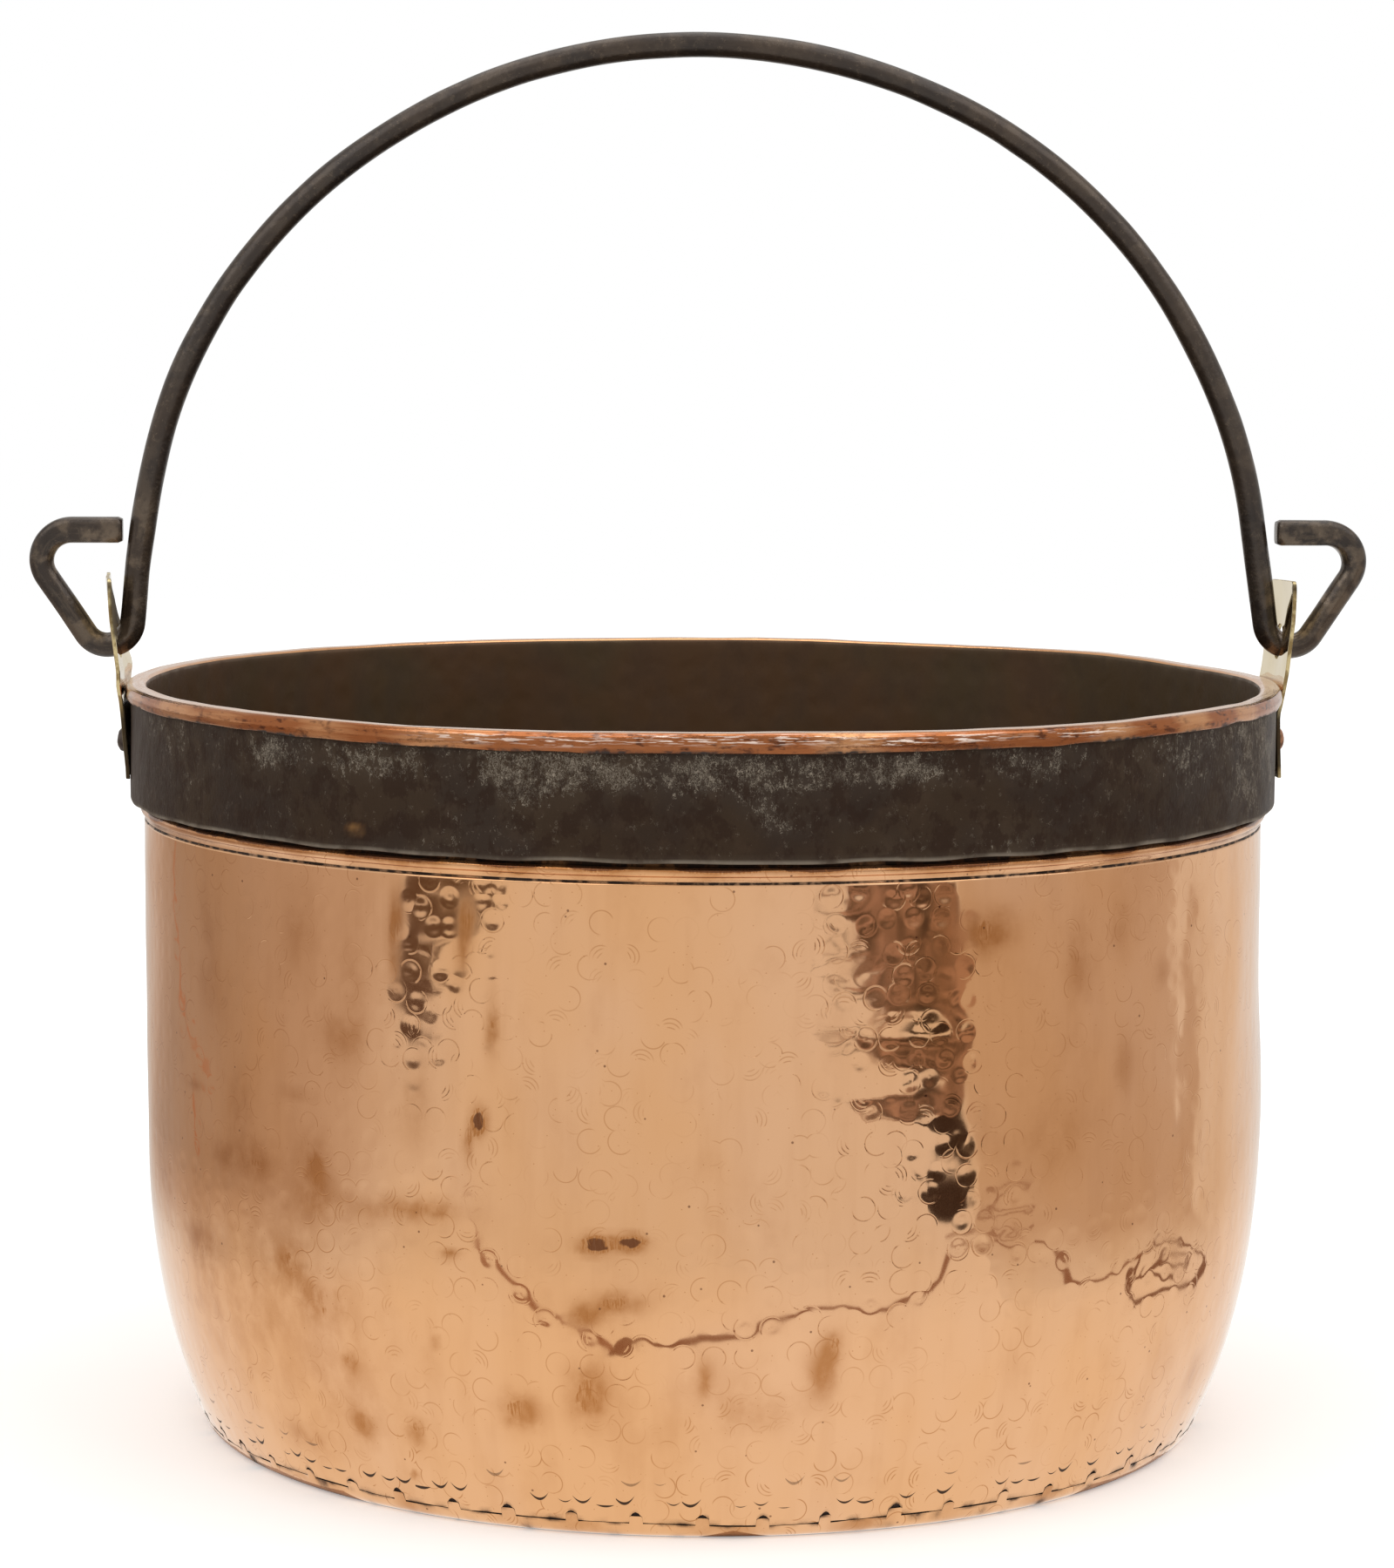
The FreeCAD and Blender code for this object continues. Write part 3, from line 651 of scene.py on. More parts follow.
def eased(portion):
    """A portion from nought to one, with a soft start and end."""
    return portion * portion * (3 - 2 * portion)


def dents(around, along, places):
    """Depth of smooth dents on the wall. A place is (angle, height, half width, half height,
    depth), in radians and metres."""
    radius = sizes().wall_radius
    total = np.zeros(np.broadcast(around, along).shape)
    for turn, height, across, tall, depth in places:
        side = angle_gap(around, turn) * radius / across
        rise = (along - height) / tall
        total += depth * np.exp(-(side * side + rise * rise))
    return total


def scattered(seed, count, low, high, smallest, largest, depth):
    """Random dents all round between two heights."""
    rng = np.random.default_rng(seed)
    places = []
    for _ in range(count):
        size = rng.uniform(smallest, largest)
        places.append((rng.uniform(0, FULL_TURN), rng.uniform(low, high), size,
                       size * rng.uniform(0.6, 1.5), rng.normal(0, depth) * size / largest))
    return places


def ripple(around, seed, first, last, amount):
    """A smooth waviness round a circle, of a first number of waves up to before a last."""
    rng = np.random.default_rng(seed)
    total = np.zeros_like(around)
    for waves in range(first, last):
        total += rng.normal(0, 1) * np.cos(waves * around + rng.uniform(0, FULL_TURN))
    return amount * total / math.sqrt((last - first) / 2)


def hammered(columns, rows, radius, seed, size, depth):
    """Rows of hammer blows on a grid: the depth at each row and column."""
    rng = np.random.default_rng(seed)
    field = np.zeros((len(rows), len(columns)))
    pitch = size * 0.92
    count = int(FULL_TURN * radius / pitch)
    height = rows[0] - size
    while height < rows[-1] + size:
        shift = rng.uniform(0, 1)
        for number in range(count):
            turn = (number + shift + rng.normal(0, 0.10)) * FULL_TURN / count
            up = height + rng.normal(0, 0.10) * size
            reach = size * rng.uniform(0.48, 0.62)
            hit = depth * rng.uniform(0.4, 1.3)
            low, high = np.searchsorted(rows, (up - reach, up + reach))
            if high <= low:
                continue
            away = angle_gap(columns, turn) * radius
            near = np.flatnonzero(np.abs(away) < reach)
            spot = (away[None, near] ** 2 + (rows[low:high, None] - up) ** 2) / reach ** 2
            field[low:high, near] -= hit * np.clip(1 - spot, 0, None) ** 2
        height += pitch
    return field


def grid_piece(name, grid, finishes=(), sheet=None, masks=None, face_rows=None, ends=()):
    """Build a smooth mesh from a grid of points, rows by columns. The columns close round.
    The sheet gives each point's place on the flat sheet, round and along; masks are values
    per point; face_rows gives each band of faces its finish; ends caps the first row (0) or
    the last (1)."""
    shape = grid.shape[:2]
    index = np.arange(shape[0] * shape[1]).reshape(shape)

    def corners(points, nexts):
        return np.stack([points[:-1], nexts[:-1], nexts[1:], points[1:]], axis=2)

    faces = corners(index, np.roll(index, -1, axis=1)).reshape(-1, 4).tolist()
    faces += [(index[-1] if end else index[0][::-1]).tolist() for end in ends]
    mesh = bpy.data.meshes.new(name)
    mesh.from_pydata(grid.reshape(-1, 3).tolist(), [], faces)
    mesh.polygons.foreach_set("use_smooth", np.ones(len(faces), bool))
    if sheet is not None:
        flat = np.stack(np.broadcast_arrays(*sheet), axis=-1)
        nexts = np.roll(flat, -1, axis=1)
        nexts[:, -1, 0] = flat[0, -1, 0] + (flat[0, 1, 0] - flat[0, 0, 0])
        places = corners(flat, nexts).reshape(-1, 2)
        spare = np.zeros((len(mesh.loops) - len(places), 2))
        layer = mesh.uv_layers.new(name="sheet")
        layer.data.foreach_set("uv", np.vstack([places, spare]).astype(np.float32).ravel())
    for label, values in (masks or {}).items():
        layer = mesh.attributes.new(label, "FLOAT", "POINT")
        spread = np.broadcast_to(values, shape).astype(np.float32)
        layer.data.foreach_set("value", spread.ravel())
    for made in finishes:
        mesh.materials.append(bpy.data.materials[made])
    if face_rows is not None:
        bands = np.repeat(np.asarray(face_rows, np.int32), shape[1])
        bands = np.concatenate([bands, np.full(len(ends), bands[-1], np.int32)])
        mesh.polygons.foreach_set("material_index", bands)
    mesh.update()
    return link_object(name, mesh)


def ring_points(radius, height, columns):
    """Points of circles: a radius and a height per row, or per row and column."""
    return np.stack(np.broadcast_arrays(
        radius * np.cos(columns), radius * np.sin(columns), height), axis=-1)


def from_front(degrees):
    """Turn an angle to the right of the pot's front into one about +Z from +X."""
    return math.radians(degrees - 90)


def belly(height, inset=0.0):
    """Distance from the axis to the wall's face at a height, and the lean of its normal."""
    pot = sizes()
    drop = np.clip(pot.belly_top - height, 0, None)
    bow = pot.belly_radius - inset
    out = pot.wall_radius - pot.belly_radius + np.sqrt(bow ** 2 - drop ** 2)
    return out, drop / bow


def on_belly(heights, face, columns):
    """Points a little outward from the wall's true face."""
    out, lean = belly(heights)
    return ring_points(out + face * np.sqrt(1 - lean ** 2), heights - face * lean, columns)


def corner_start():
    """The base corner's centre, and the place where it meets the curved wall."""
    pot = sizes()
    bow = pot.belly_radius
    drop = pot.belly_top - pot.corner_radius
    across = pot.wall_radius - bow + math.sqrt((bow - pot.corner_radius) ** 2 - drop ** 2)
    part = bow / (bow - pot.corner_radius)
    return across, pot.belly_top - drop * part


# Dents that the photograph shows: degrees to the right of the front, height, half width,
# half height and depth in millimetres.
SEEN_DENTS = [
    (50, 215, 14, 60, -1), (57, 150, 16, 34, -0.9), (63, 240, 16, 40, 0.9),
    (27.1, 146, 12, 7, -0.3), (31, 120, 14, 10, -0.3), (-29.9, 142, 18, 22, -0.6),
    (-11.7, 138, 8, 5, -0.3), (-28.5, 281, 13, 9, -0.12), (16.5, 270, 12, 14, 0.15),
    (17.5, 225, 16, 9, -0.5), (17, 190, 14, 8, 0.4), (20, 160, 10, 12, -0.3),
    (-72, 150, 40, 60, -1), (-66, 80, 30, 30, 0.6), (0, 237, 8, 8, -0.16), (0, 137, 8, 8, -0.16),
    (23.4, 263, 8, 8, -0.2), (-24.5, 187, 9, 12, -0.2), (-52, 200, 22, 60, 0.5),
    (-45, 90, 26, 30, -0.5), (9.5, 282, 9, 6, 0.24), (8.6, 262, 10, 6, -0.24),
    (11.5, 247, 9, 7, 0.24), (8.6, 232, 12, 5, -0.28), (14.5, 215, 12, 7, 0.26),
    (12, 202, 10, 5, -0.24), (14.8, 188, 9, 6, 0.2), (-26.5, 268, 8, 6, 0.12),
    (-27, 255, 8, 6, -0.12), (-28.5, 243, 8, 6, 0.1), (23, 259, 7, 5, 0.3),
    (86, 158, 62, 46, 3.2), (84, 40, 40, 30, 0.6), (87, 250, 40, 30, -0.4),
    (47.5, 286, 7, 10, 0.3), (51.3, 269, 7, 9, -0.38), (54, 249, 8, 9, -0.42),
    (49, 222, 7, 12, 0.45), (52, 190, 6, 7, -0.38), (48.6, 177, 6, 10, 0.42),
    (50.5, 150, 7, 9, 0.25), (54.5, 135, 7, 8, -0.38),
]

# Brown stains, laid out in the same way but with a strength last: up to 0.4 soft, about 0.9
# brown with an edge, over 1.2 dark.
SEEN_STAINS = [
    (-24.5, 188, 3.2, 5.2, 1.7), (-25.6, 178, 1.8, 6, 0.95), (-23.2, 229, 2.6, 11, 0.8),
    (-33.2, 268, 2.8, 14, 0.95), (-25.7, 277, 3.2, 9, 0.95), (-26.2, 262, 2.2, 8, 0.55),
    (-21.2, 59, 8, 7.5, 0.98), (-14.2, 69, 7.5, 11, 1), (8, 80, 6, 11, 0.7),
    (-13.2, 137, 6, 3.2, 1.8), (-9.9, 138.5, 5.2, 2.8, 1.75), (-11.4, 112, 9.5, 4, 0.95),
    (-14.4, 105, 5.5, 4.5, 0.85), (-39.3, 42, 4.4, 4.9, 0.85), (-32.8, 44, 3.7, 5.7, 0.7),
    (23.8, 271, 11, 8, 0.9), (31, 175, 20, 14, 0.3), (9, 93, 3.6, 5, 0.75),
    (-42.9, 160, 7.8, 10, 0.62), (-51.3, 156, 9.1, 7.1, 0.48), (-56.6, 155, 13, 5.7, 0.45),
    (-62.7, 110, 11.8, 12.9, 0.45), (-73.7, 133, 12.7, 11.4, 0.45), (-46.8, 113, 7.9, 8.6, 0.46),
    # The last two on the next line are a painted reflection: the soft shade of a paper edge seen
    # in the copper.
    (-42.4, 99, 11.6, 8.6, 0.48), (-33.8, 145, 22.4, 5.1, 0.42), (-29, 147, 13.1, 3.7, 0.5),
    (-42.9, 144, 11.7, 8.6, 0.34), (-31.2, 193, 8.4, 15.7, 0.28), (-39.6, 72, 3.7, 4.3, 0.55),
    (-29.5, 87, 2, 1.7, 0.85), (-34, 21, 1.7, 1.7, 0.95), (-39.4, 220, 11.1, 8.6, 0.36),
    (-54.1, 180, 8.8, 14.3, 0.34), (-27.4, 128, 3.9, 1.7, 0.85), (-45.6, 191, 8.2, 1.4, 0.6),
    (-63.7, 183, 9.7, 2, 0.45), (-48, 120, 34, 44, 0.2), (-60, 250, 8, 26, 0.3),
    (-45, 263, 9, 16, 0.3), (-38, 245, 8, 30, 0.25), (-48, 28, 14, 6, 0.5),
    (-40, 60, 34, 30, 0.24), (-60, 88, 44, 34, 0.32), (-3.2, 78, 3, 7, 0.5), (2, 62, 16, 9, 0.28),
    (34.3, 254, 6.3, 16, 0.42), (39.8, 272, 6.8, 14.5, 0.36), (46.4, 243, 5.5, 5.8, 0.32),
    (40.6, 204, 5.8, 11.6, 0.32), (60, 45, 10, 10, 0.35),
]

# Worn places of the hoop, partly painted highlights, and its rust, painted highlights along
# the rim's lip, and calmer places of the wall, with the strength, or the share of unevenness
# taken away, last.
SEEN_WEAR = [
    (-47, 342, 24, 8, 0.6), (-38, 338, 16, 10, 0.45), (-33, 343, 22, 6, 0.65),
    (-19.5, 338, 16, 12, 0.9), (-12, 342, 22, 7, 0.85), (-6, 340, 20, 9, 0.9),
    (1.5, 328, 10, 7, 0.55), (4, 323, 13, 6, 0.8), (12.5, 342, 16, 7, 0.7), (2, 343, 18, 7, 0.85),
    (7, 341, 14, 8, 0.7), (9, 320, 3, 9, 0.4), (13, 312, 8, 6, 0.35), (17, 342, 14, 6, 0.45),
    (24, 312, 16, 6, 0.5), (27, 343, 22, 7, 0.6), (38, 340, 24, 9, 0.6), (50, 336, 24, 14, 0.65),
    (60, 330, 24, 22, 0.7), (72, 325, 30, 26, 0.85), (82, 322, 24, 28, 0.8),
    (-60, 334, 24, 16, 0.5), (-14, 325, 6, 5, 0.35),
]
RUST_SPOTS = [
    (-37, 313.5, 3, 1.6, 1), (-36.2, 312.5, 1.6, 1.2, 0.8),
]
# Painted highlights along the rim's lip.
RIM_GLINTS = [
    (-24, 356.7, 20, 1.6, 1.2), (-16, 356, 14, 1.6, 1.2), (-6, 357.4, 30, 1.6, 1.2),
    (4, 357.4, 30, 1.6, 1.2), (14, 356, 12, 1.6, 1.2), (20, 356.8, 20, 1.6, 1.2),
    (33, 356.8, 20, 1.6, 1.2),
]
CALM = [
    (-27, 245, 34, 50, 0.75), (12, 225, 44, 80, 0.55), (-21, 140, 50, 34, 0.6),
    (22, 125, 70, 26, 0.45), (-68, 210, 30, 80, 0.55),
]


def placed(table):
    """The table's rows in radians and metres."""
    return [(from_front(degrees), height / 1000, across / 1000, tall / 1000, amount)
            for degrees, height, across, tall, amount in table]


def sheet_relief(around, along):
    """Unevenness of the beaten copper, outward from its true face."""
    broad = scattered(11, 150, -0.02, 0.32, 0.030, 0.070, 0.00055)
    close = scattered(12, 420, -0.02, 0.32, 0.012, 0.030, 0.00022)
    seen = [(*place[:4], place[4] / 1000) for place in placed(SEEN_DENTS)]
    total = dents(around, along, broad)
    total += dents(around, along, close)
    total *= 1 - np.clip(dents(around, along, placed(CALM)), 0, 0.85)
    return total + dents(around, along, seen)


def foot_share(heights):
    """Share of the unevenness that the copper keeps towards its base."""
    return rising(heights, 0.004, 0.03, 0.15)


class Seam:
    """The cramped seam: its columns round the pot and its height at each of them."""

    def __init__(self):
        pot = sizes()
        rng = np.random.default_rng(5)
        pitch = FULL_TURN / pot.cramp_count
        step = math.radians(0.05)
        points = []
        for number in range(pot.cramp_count):
            middle = number * pitch + rng.normal(0, 0.05) * pitch
            wide = pot.cramp_angle / 2 * rng.uniform(0.80, 1.15)
            tall = pot.cramp_rise * rng.uniform(0.75, 1.1)
            moon = rng.uniform(0.35, 1.15)
            for across in (-1.0, -0.99, -0.80, -0.45, 0.0, 0.45, 0.80, 0.99, 1.0):
                outside = abs(across) == 1.0
                offset = across * wide + (math.copysign(step, across) if outside else 0.0)
                rise = 0.0 if outside else tall * (1 - 0.32 * across ** 2)
                points.append((middle + offset, rise,
                               moon * max(0.0, 1 - (across / 0.8) ** 2)))
            free = pitch - 2 * wide - 2 * step
            for part in np.linspace(0, 1, 9)[1:-1]:
                points.append((middle + wide + step + part * (free - 0.002), 0.0, 0.0))
        self.columns, self.rise, crescent = np.array(sorted(points)).T.copy()
        wander = ripple(self.columns, 21, 3, 20, 0.00045)
        self.height = pot.seam_height + wander + self.rise
        open_line = 0.5 + 0.5 * np.tanh(3 * ripple(self.columns, 22, 15, 70, 1.0))
        self.gap = np.where(self.rise > 0, 0.00008 + 0.0019 * crescent,
                            0.00030 + 0.00050 * open_line)


def wall_profile_rows():
    """Heights of the wall's rows above the seam, finer at the crease and the bead."""
    pot = sizes()
    plain = np.linspace(0.018, pot.crease_height - 0.0014, 83)
    crease = pot.crease_height + np.array([-0.0008, -0.0005, -0.0002, 0.0002, 0.0005, 0.0008])
    half = math.sqrt(pot.bead_radius ** 2 - pot.bead_sink ** 2)
    bead = pot.bead_height + half * np.sin(np.linspace(-1, 1, 11) * math.pi / 2)
    return np.concatenate([plain, crease, bead, [0.306, 0.316, 0.330]])


def stacked(columns, *parts):
    """Rows of values, each part spread over all columns."""
    return np.concatenate([np.broadcast_to(part, (len(part), len(columns)))
                           for part in parts])


def seam_grime(columns, along, seed, level):
    """Dirt in patches beside the seam, which the first row follows."""
    patches = np.clip(level + 0.35 * ripple(columns, seed, 20, 160, 1.0), 0, 0.8)
    return bell(along, along[:1], 0.0009) * patches


def build_wall():
    """The outside of the beaten wall, from the seam to behind the hoop."""
    pot = sizes()
    seam = Seam()
    columns = seam.columns
    regular = wall_profile_rows()
    edge = seam.height + seam.gap / 2
    low_shares = np.array([0.0, 0.10, 0.28, 0.52, 0.78])[:, None]
    low = edge + (regular[0] - edge) * low_shares
    heights = stacked(columns, low, regular[:, None])
    swell = np.clip(pot.bead_radius ** 2 - (heights - pot.bead_height) ** 2, 0, None)
    bead_out = np.clip(np.sqrt(swell) - pot.bead_sink, 0, None)
    groove_half = 0.0008
    groove = np.clip(1 - np.abs(heights - pot.crease_height) / groove_half, 0, None)
    crease_amount = pot.crease_depth * (1 + 0.3 * ripple(columns, 31, 4, 40, 1.0))
    relief_keep = rising(heights, 0.300, -0.03, 0.12) * foot_share(heights)
    flat_rows = np.concatenate([low.mean(axis=1), regular])
    blows = hammered(columns, flat_rows, pot.wall_radius, 13, pot.mark_size, pot.mark_depth)
    face = sheet_relief(columns, heights) * relief_keep
    face += blows * rising(heights, 0.2935, -0.003)
    wave = ripple(columns, 32, 6, 60, 0.00004)
    face += bead_out * (1 + wave / 0.0006) - groove * crease_amount
    spread, half_view = 1.22, math.radians(75)
    stain_and_shade = dents(columns, heights, [
        (turn, height, across * spread, tall * spread, amount)
        for turn, height, across, tall, amount in placed(SEEN_STAINS)])
    unseen = np.abs(angle_gap(columns, from_front(0))) > half_view
    streaks = scattered(41, 60, 0.02, 0.29, 0.006, 0.020, 0.30)
    stain_and_shade += np.clip(dents(columns, heights, streaks), 0, 0.8) * np.where(unseen, 1.0, 0.45)
    upper = ripple(columns, 42, 5, 50, 1.0)
    # The first row paints shade just under the hoop, darker than the stains; the second browns
    # the bead.
    stain_and_shade += rising(heights, 0.2996, 0.0014) * np.clip(1.15 + 0.45 * upper, 0.3, 1.6)
    stain_and_shade += rising(heights, 0.2956, 0.0008) * np.clip(0.34 + 0.22 * upper, 0.1, 0.7)
    # Darker along the crease; then painted shade just under and behind the hoop; then grimy
    # patches beside the seam.
    grime_and_shade = bell(heights, pot.crease_height, 0.00062, 4) * np.clip(
        1.25 + 0.45 * upper, 0.35, 1.5)
    grime_and_shade += rising(heights, 0.3012, 0.0010) * np.clip(0.9 + 0.2 * upper, 0, 1)
    grime_and_shade += seam_grime(columns, heights, 43, 0.20)
    return grid_piece(
        "wall_outside", on_belly(heights, face, columns), ["polished copper"],
        (columns * pot.wall_radius, heights),
        {"stain_and_shade": np.clip(stain_and_shade, 0, 1.8), "grime_and_shade": np.clip(grime_and_shade, 0, 1)})


def build_seam_dirt_and_shade():
    """Dirt and old solder in the seam, a little behind both of its edges, and painted shade in
    its gaps.
    """
    seam = Seam()
    heights = seam.height + np.array([1, 1, 0, -1, -1])[:, None] * (seam.gap / 2)
    heights += np.array([0.0013, 0.0002, 0, -0.0002, -0.0013])[:, None]
    face = sheet_relief(seam.columns, heights) * foot_share(heights) - 0.0006
    return grid_piece("seam_dirt_and_shade", on_belly(heights, face, seam.columns), ["seam dirt"])


def build_pan():
    """The base pan: its cramps, its tight corner and its flat bottom."""
    pot = sizes()
    seam = Seam()
    columns = seam.columns
    centre, start = corner_start()
    edge = seam.height - seam.gap / 2
    part = np.array([0.0, 0.3, 0.62, 0.82, 1.0])[:, None]
    heights = edge + (start - edge) * part
    face = sheet_relief(columns, heights) * foot_share(heights)
    face += 0.00018 * (seam.rise > 0) * (1 - part)
    first_lean = math.asin((pot.belly_top - start) / pot.belly_radius)
    turns = np.linspace(first_lean, math.pi / 2, 9)[1:, None]
    fade = np.linspace(1, 0, len(turns))[:, None] ** 2
    corner_out = centre + pot.corner_radius * np.cos(turns) + face[-1] * fade
    corner_up = pot.corner_radius - pot.corner_radius * np.sin(turns)
    flat = np.array([0.93, 0.75, 0.5, 0.25, 0.02])[:, None]
    flat_up = np.array([0.0, 0.0002, 0.0004, 0.0004, 0.0004])[:, None]
    grid = np.concatenate([
        on_belly(heights, face, columns), ring_points(corner_out, corner_up, columns),
        ring_points(centre * flat, flat_up, columns)])
    along = stacked(columns, heights, start - pot.corner_radius * (turns - first_lean),
                    -0.02 - centre * (1 - flat))
    spots = scattered(45, 150, -0.008, 0.008, 0.0016, 0.0034, 0.6)
    grime_and_shade = seam_grime(columns, along, 44, 0.15) + np.clip(dents(columns, along, spots), 0, 1)
    stain_and_shade = np.clip(0.12 + 0.25 * ripple(columns, 46, 4, 40, 1.0), 0, 1)
    return grid_piece("base_outside", grid, ["polished copper"],
                      (columns * pot.wall_radius, along),
                      {"stain_and_shade": stain_and_shade, "grime_and_shade": np.clip(grime_and_shade, 0, 1)}, ends=(1,))


def bend(centre_out, centre_up, radius, first, last, count):
    """Points of an arc in profile, between two angles in degrees."""
    turns = np.radians(np.linspace(first, last, count))
    return [(centre_out + radius * math.cos(turn), centre_up + radius * math.sin(turn))
            for turn in turns]


def length_along(first, second):
    """Length along a line of points to each of them."""
    return np.concatenate([[0.0], np.cumsum(np.hypot(np.diff(first), np.diff(second)))])


def build_rim():
    """The rim turned out and down over the hoop, and the dark lining below it."""
    pot = sizes()
    top, curve, foot = pot.pot_height, pot.hem_bend, pot.hem_bottom
    inside = pot.wall_radius - pot.sheet_thick
    clearance, lip_round, lip_swell = 0.0002, 0.0007, 0.00028
    lip_inside = pot.wall_radius + clearance + pot.band_thick
    lip_outside = lip_inside + pot.sheet_thick
    columns = np.linspace(0, FULL_TURN, RIM_COLUMNS, endpoint=False)
    profile = [(lip_inside, top - 0.0045), (lip_inside, foot + 0.0004)]
    profile += bend(lip_outside - lip_round, foot + lip_round, lip_round, 225, 360, 4)
    profile += [(lip_outside + lip_swell * math.sin(math.pi * part), height)
                for part, height in zip(np.linspace(0.1, 0.9, 6), np.linspace(
                    foot + 0.0012, top - curve - 0.0004, 6))]
    profile += bend(lip_outside - curve, top - curve, curve, 0, 90, 8)
    profile += [(out, top) for out in np.linspace(
        lip_outside - curve - 0.0008, inside + curve + 0.0008, 5)]
    profile += bend(inside + curve, top - curve, curve, 90, 180, 8)
    rim_rows = len(profile)
    profile += [(inside, height) for height in (
        top - 0.0045, top - 0.008, *np.linspace(top - 0.014, pot.belly_top, 24))]
    profile += [(float(belly(height, pot.sheet_thick)[0]), height)
                for height in np.linspace(pot.belly_top - 0.008, 0.011, 12)]
    centre, _ = corner_start()
    profile += bend(centre, pot.corner_radius, pot.corner_radius - pot.sheet_thick,
                    -35, -90, 4)
    profile += [(centre * part, pot.sheet_thick) for part in (0.8, 0.5, 0.25, 0.02)]
    out, up = np.array(profile).T
    run = length_along(out, up)[:, None]
    tangent_out, tangent_up = np.gradient(out), np.gradient(up)
    size = np.hypot(tangent_out, tangent_up)
    normal_out = (tangent_up / size)[:, None]
    normal_up = (-tangent_out / size)[:, None]
    out, up, row = out[:, None], up[:, None], np.arange(len(out))[:, None]
    fine = scattered(53, 620, 0.0, 0.03, 0.004, 0.018, 0.00012)
    flats = dents(columns, run, fine) * (row < rim_rows + 3)
    inner_dents = scattered(54, 220, 0.0, 0.36, 0.02, 0.05, 0.0004)
    inner = dents(columns, up, inner_dents) - sheet_relief(columns, up)
    inner *= rising(up, 0.352, -0.05) * (row >= rim_rows)
    inner = np.where(out < centre - 0.002, 0, inner)
    in_rim = rising(up, 0.345, 0.004)
    lower_lip_rows, lip_rows, last_brown_row = 6, 12, 18.5
    lower_lip = (row < lower_lip_rows) * (up < foot + 0.003)
    beside = np.cos(columns) ** 4 * rising(up, 0.3565, -0.005)
    radius = out + normal_out * (flats + inner) + ripple(columns, 51, 2, 9, 0.00028) * in_rim
    z = up + normal_up * flats + ripple(columns, 52, 2, 12, 0.00026) * in_rim
    z += ripple(columns, 55, 3, 60, 0.00017) * lower_lip
    z += 0.0015 * beside * (row < lip_rows)
    on_lip = rising(row, last_brown_row, -2)
    tarnish = np.clip(ripple(columns, 56, 2, 40, 0.30) + 0.80, 0.3, 1.3)
    # Darker along the lip's lower edge, in patches.
    edge_patches = np.clip(ripple(columns, 57, 8, 70, 0.5) + 0.45, 0.1, 1.2)
    edge_line = bell(up, foot + 0.0004, 0.0008) * on_lip
    # The masks: tarnish on the lip, its lower edge darker in patches, and painted highlights
    # along its front.
    masks = {"stain_and_shade": tarnish * on_lip + 0.30, "grime_and_shade": edge_line * edge_patches,
             "rub_and_highlight": dents(columns, up, placed(RIM_GLINTS)) * on_lip}
    bands = [0 if band < rim_rows - 4 else 1 for band in range(len(out) - 1)]
    return grid_piece("rim_and_lining", ring_points(radius, z, columns),
                      ["worn copper rim", "dark lining"],
                      (columns * pot.wall_radius, run + 0.36), masks, bands, (1,))


def build_hoop():
    """The forged hoop, a little uneven on its face and along its edges."""
    pot = sizes()
    columns = np.linspace(0, FULL_TURN, HOOP_COLUMNS, endpoint=False)
    clearance, top_clearance = 0.0001, 0.0003
    inside = pot.wall_radius + clearance
    outside = inside + pot.band_thick
    low, high = pot.band_bottom, pot.pot_height - pot.sheet_thick - top_clearance
    ease = 0.0010
    profile = [(inside, high - 0.004), (inside, low + 0.004)]
    profile += bend(inside + ease, low + ease, ease, 180, 270, 4)
    profile += [(inside + 0.003, low)]
    profile += bend(outside - ease, low + ease, ease, 270, 360, 6)
    profile += [(outside, height) for height in np.linspace(
        low + 0.0022, high - 0.0022, 20)]
    profile += bend(outside - ease, high - ease, ease, 0, 90, 4)
    profile += [(inside + 0.001, high)]
    out, up = np.array(profile).T[:, :, None]
    forged = scattered(61, 260, low, high, 0.008, 0.030, 0.00020)
    face = dents(columns, up, forged) + ripple(columns, 62, 2, 7, 0.00018)
    face *= rising(out - inside, 0.004, 0.0015)
    hang = ripple(columns, 63, 3, 40, 0.00030) * rising(up, low + 0.006, -0.005)
    share_up = (up - low) / (high - low)
    streaks = ripple(columns, 64, 2, 26, 0.22)
    # Pale worn places, partly painted highlights, thickest along the upper half.
    wear_and_highlight = np.clip((share_up - 0.52 + 0.42 * streaks) * 2.6, 0, 1) * 0.5225
    wear_and_highlight += dents(columns, up, placed(SEEN_WEAR))
    patches = scattered(65, 90, low, high, 0.008, 0.026, 0.38)
    wear_and_highlight += np.clip(dents(columns, up, patches), 0, 0.5)
    wear_and_highlight *= rising(share_up, 0.93, -0.05, 0.15)
    edge = bell(share_up, 0.012, 0.018) * (out > outside - 0.0008)
    masks = {"wear_and_highlight": np.clip(wear_and_highlight, 0, 1), "edge": edge,
             "rust": np.clip(dents(columns, up, placed(RUST_SPOTS)), 0, 1)}
    return grid_piece("forged_hoop", ring_points(out + face, up + hang, columns),
                      ["worn hoop iron"], (columns * pot.wall_radius, up), masks)


def polar(centre, radius, turn):
    """A point at an angle round a centre."""
    return centre[0] + radius * math.cos(turn), centre[1] + radius * math.sin(turn)


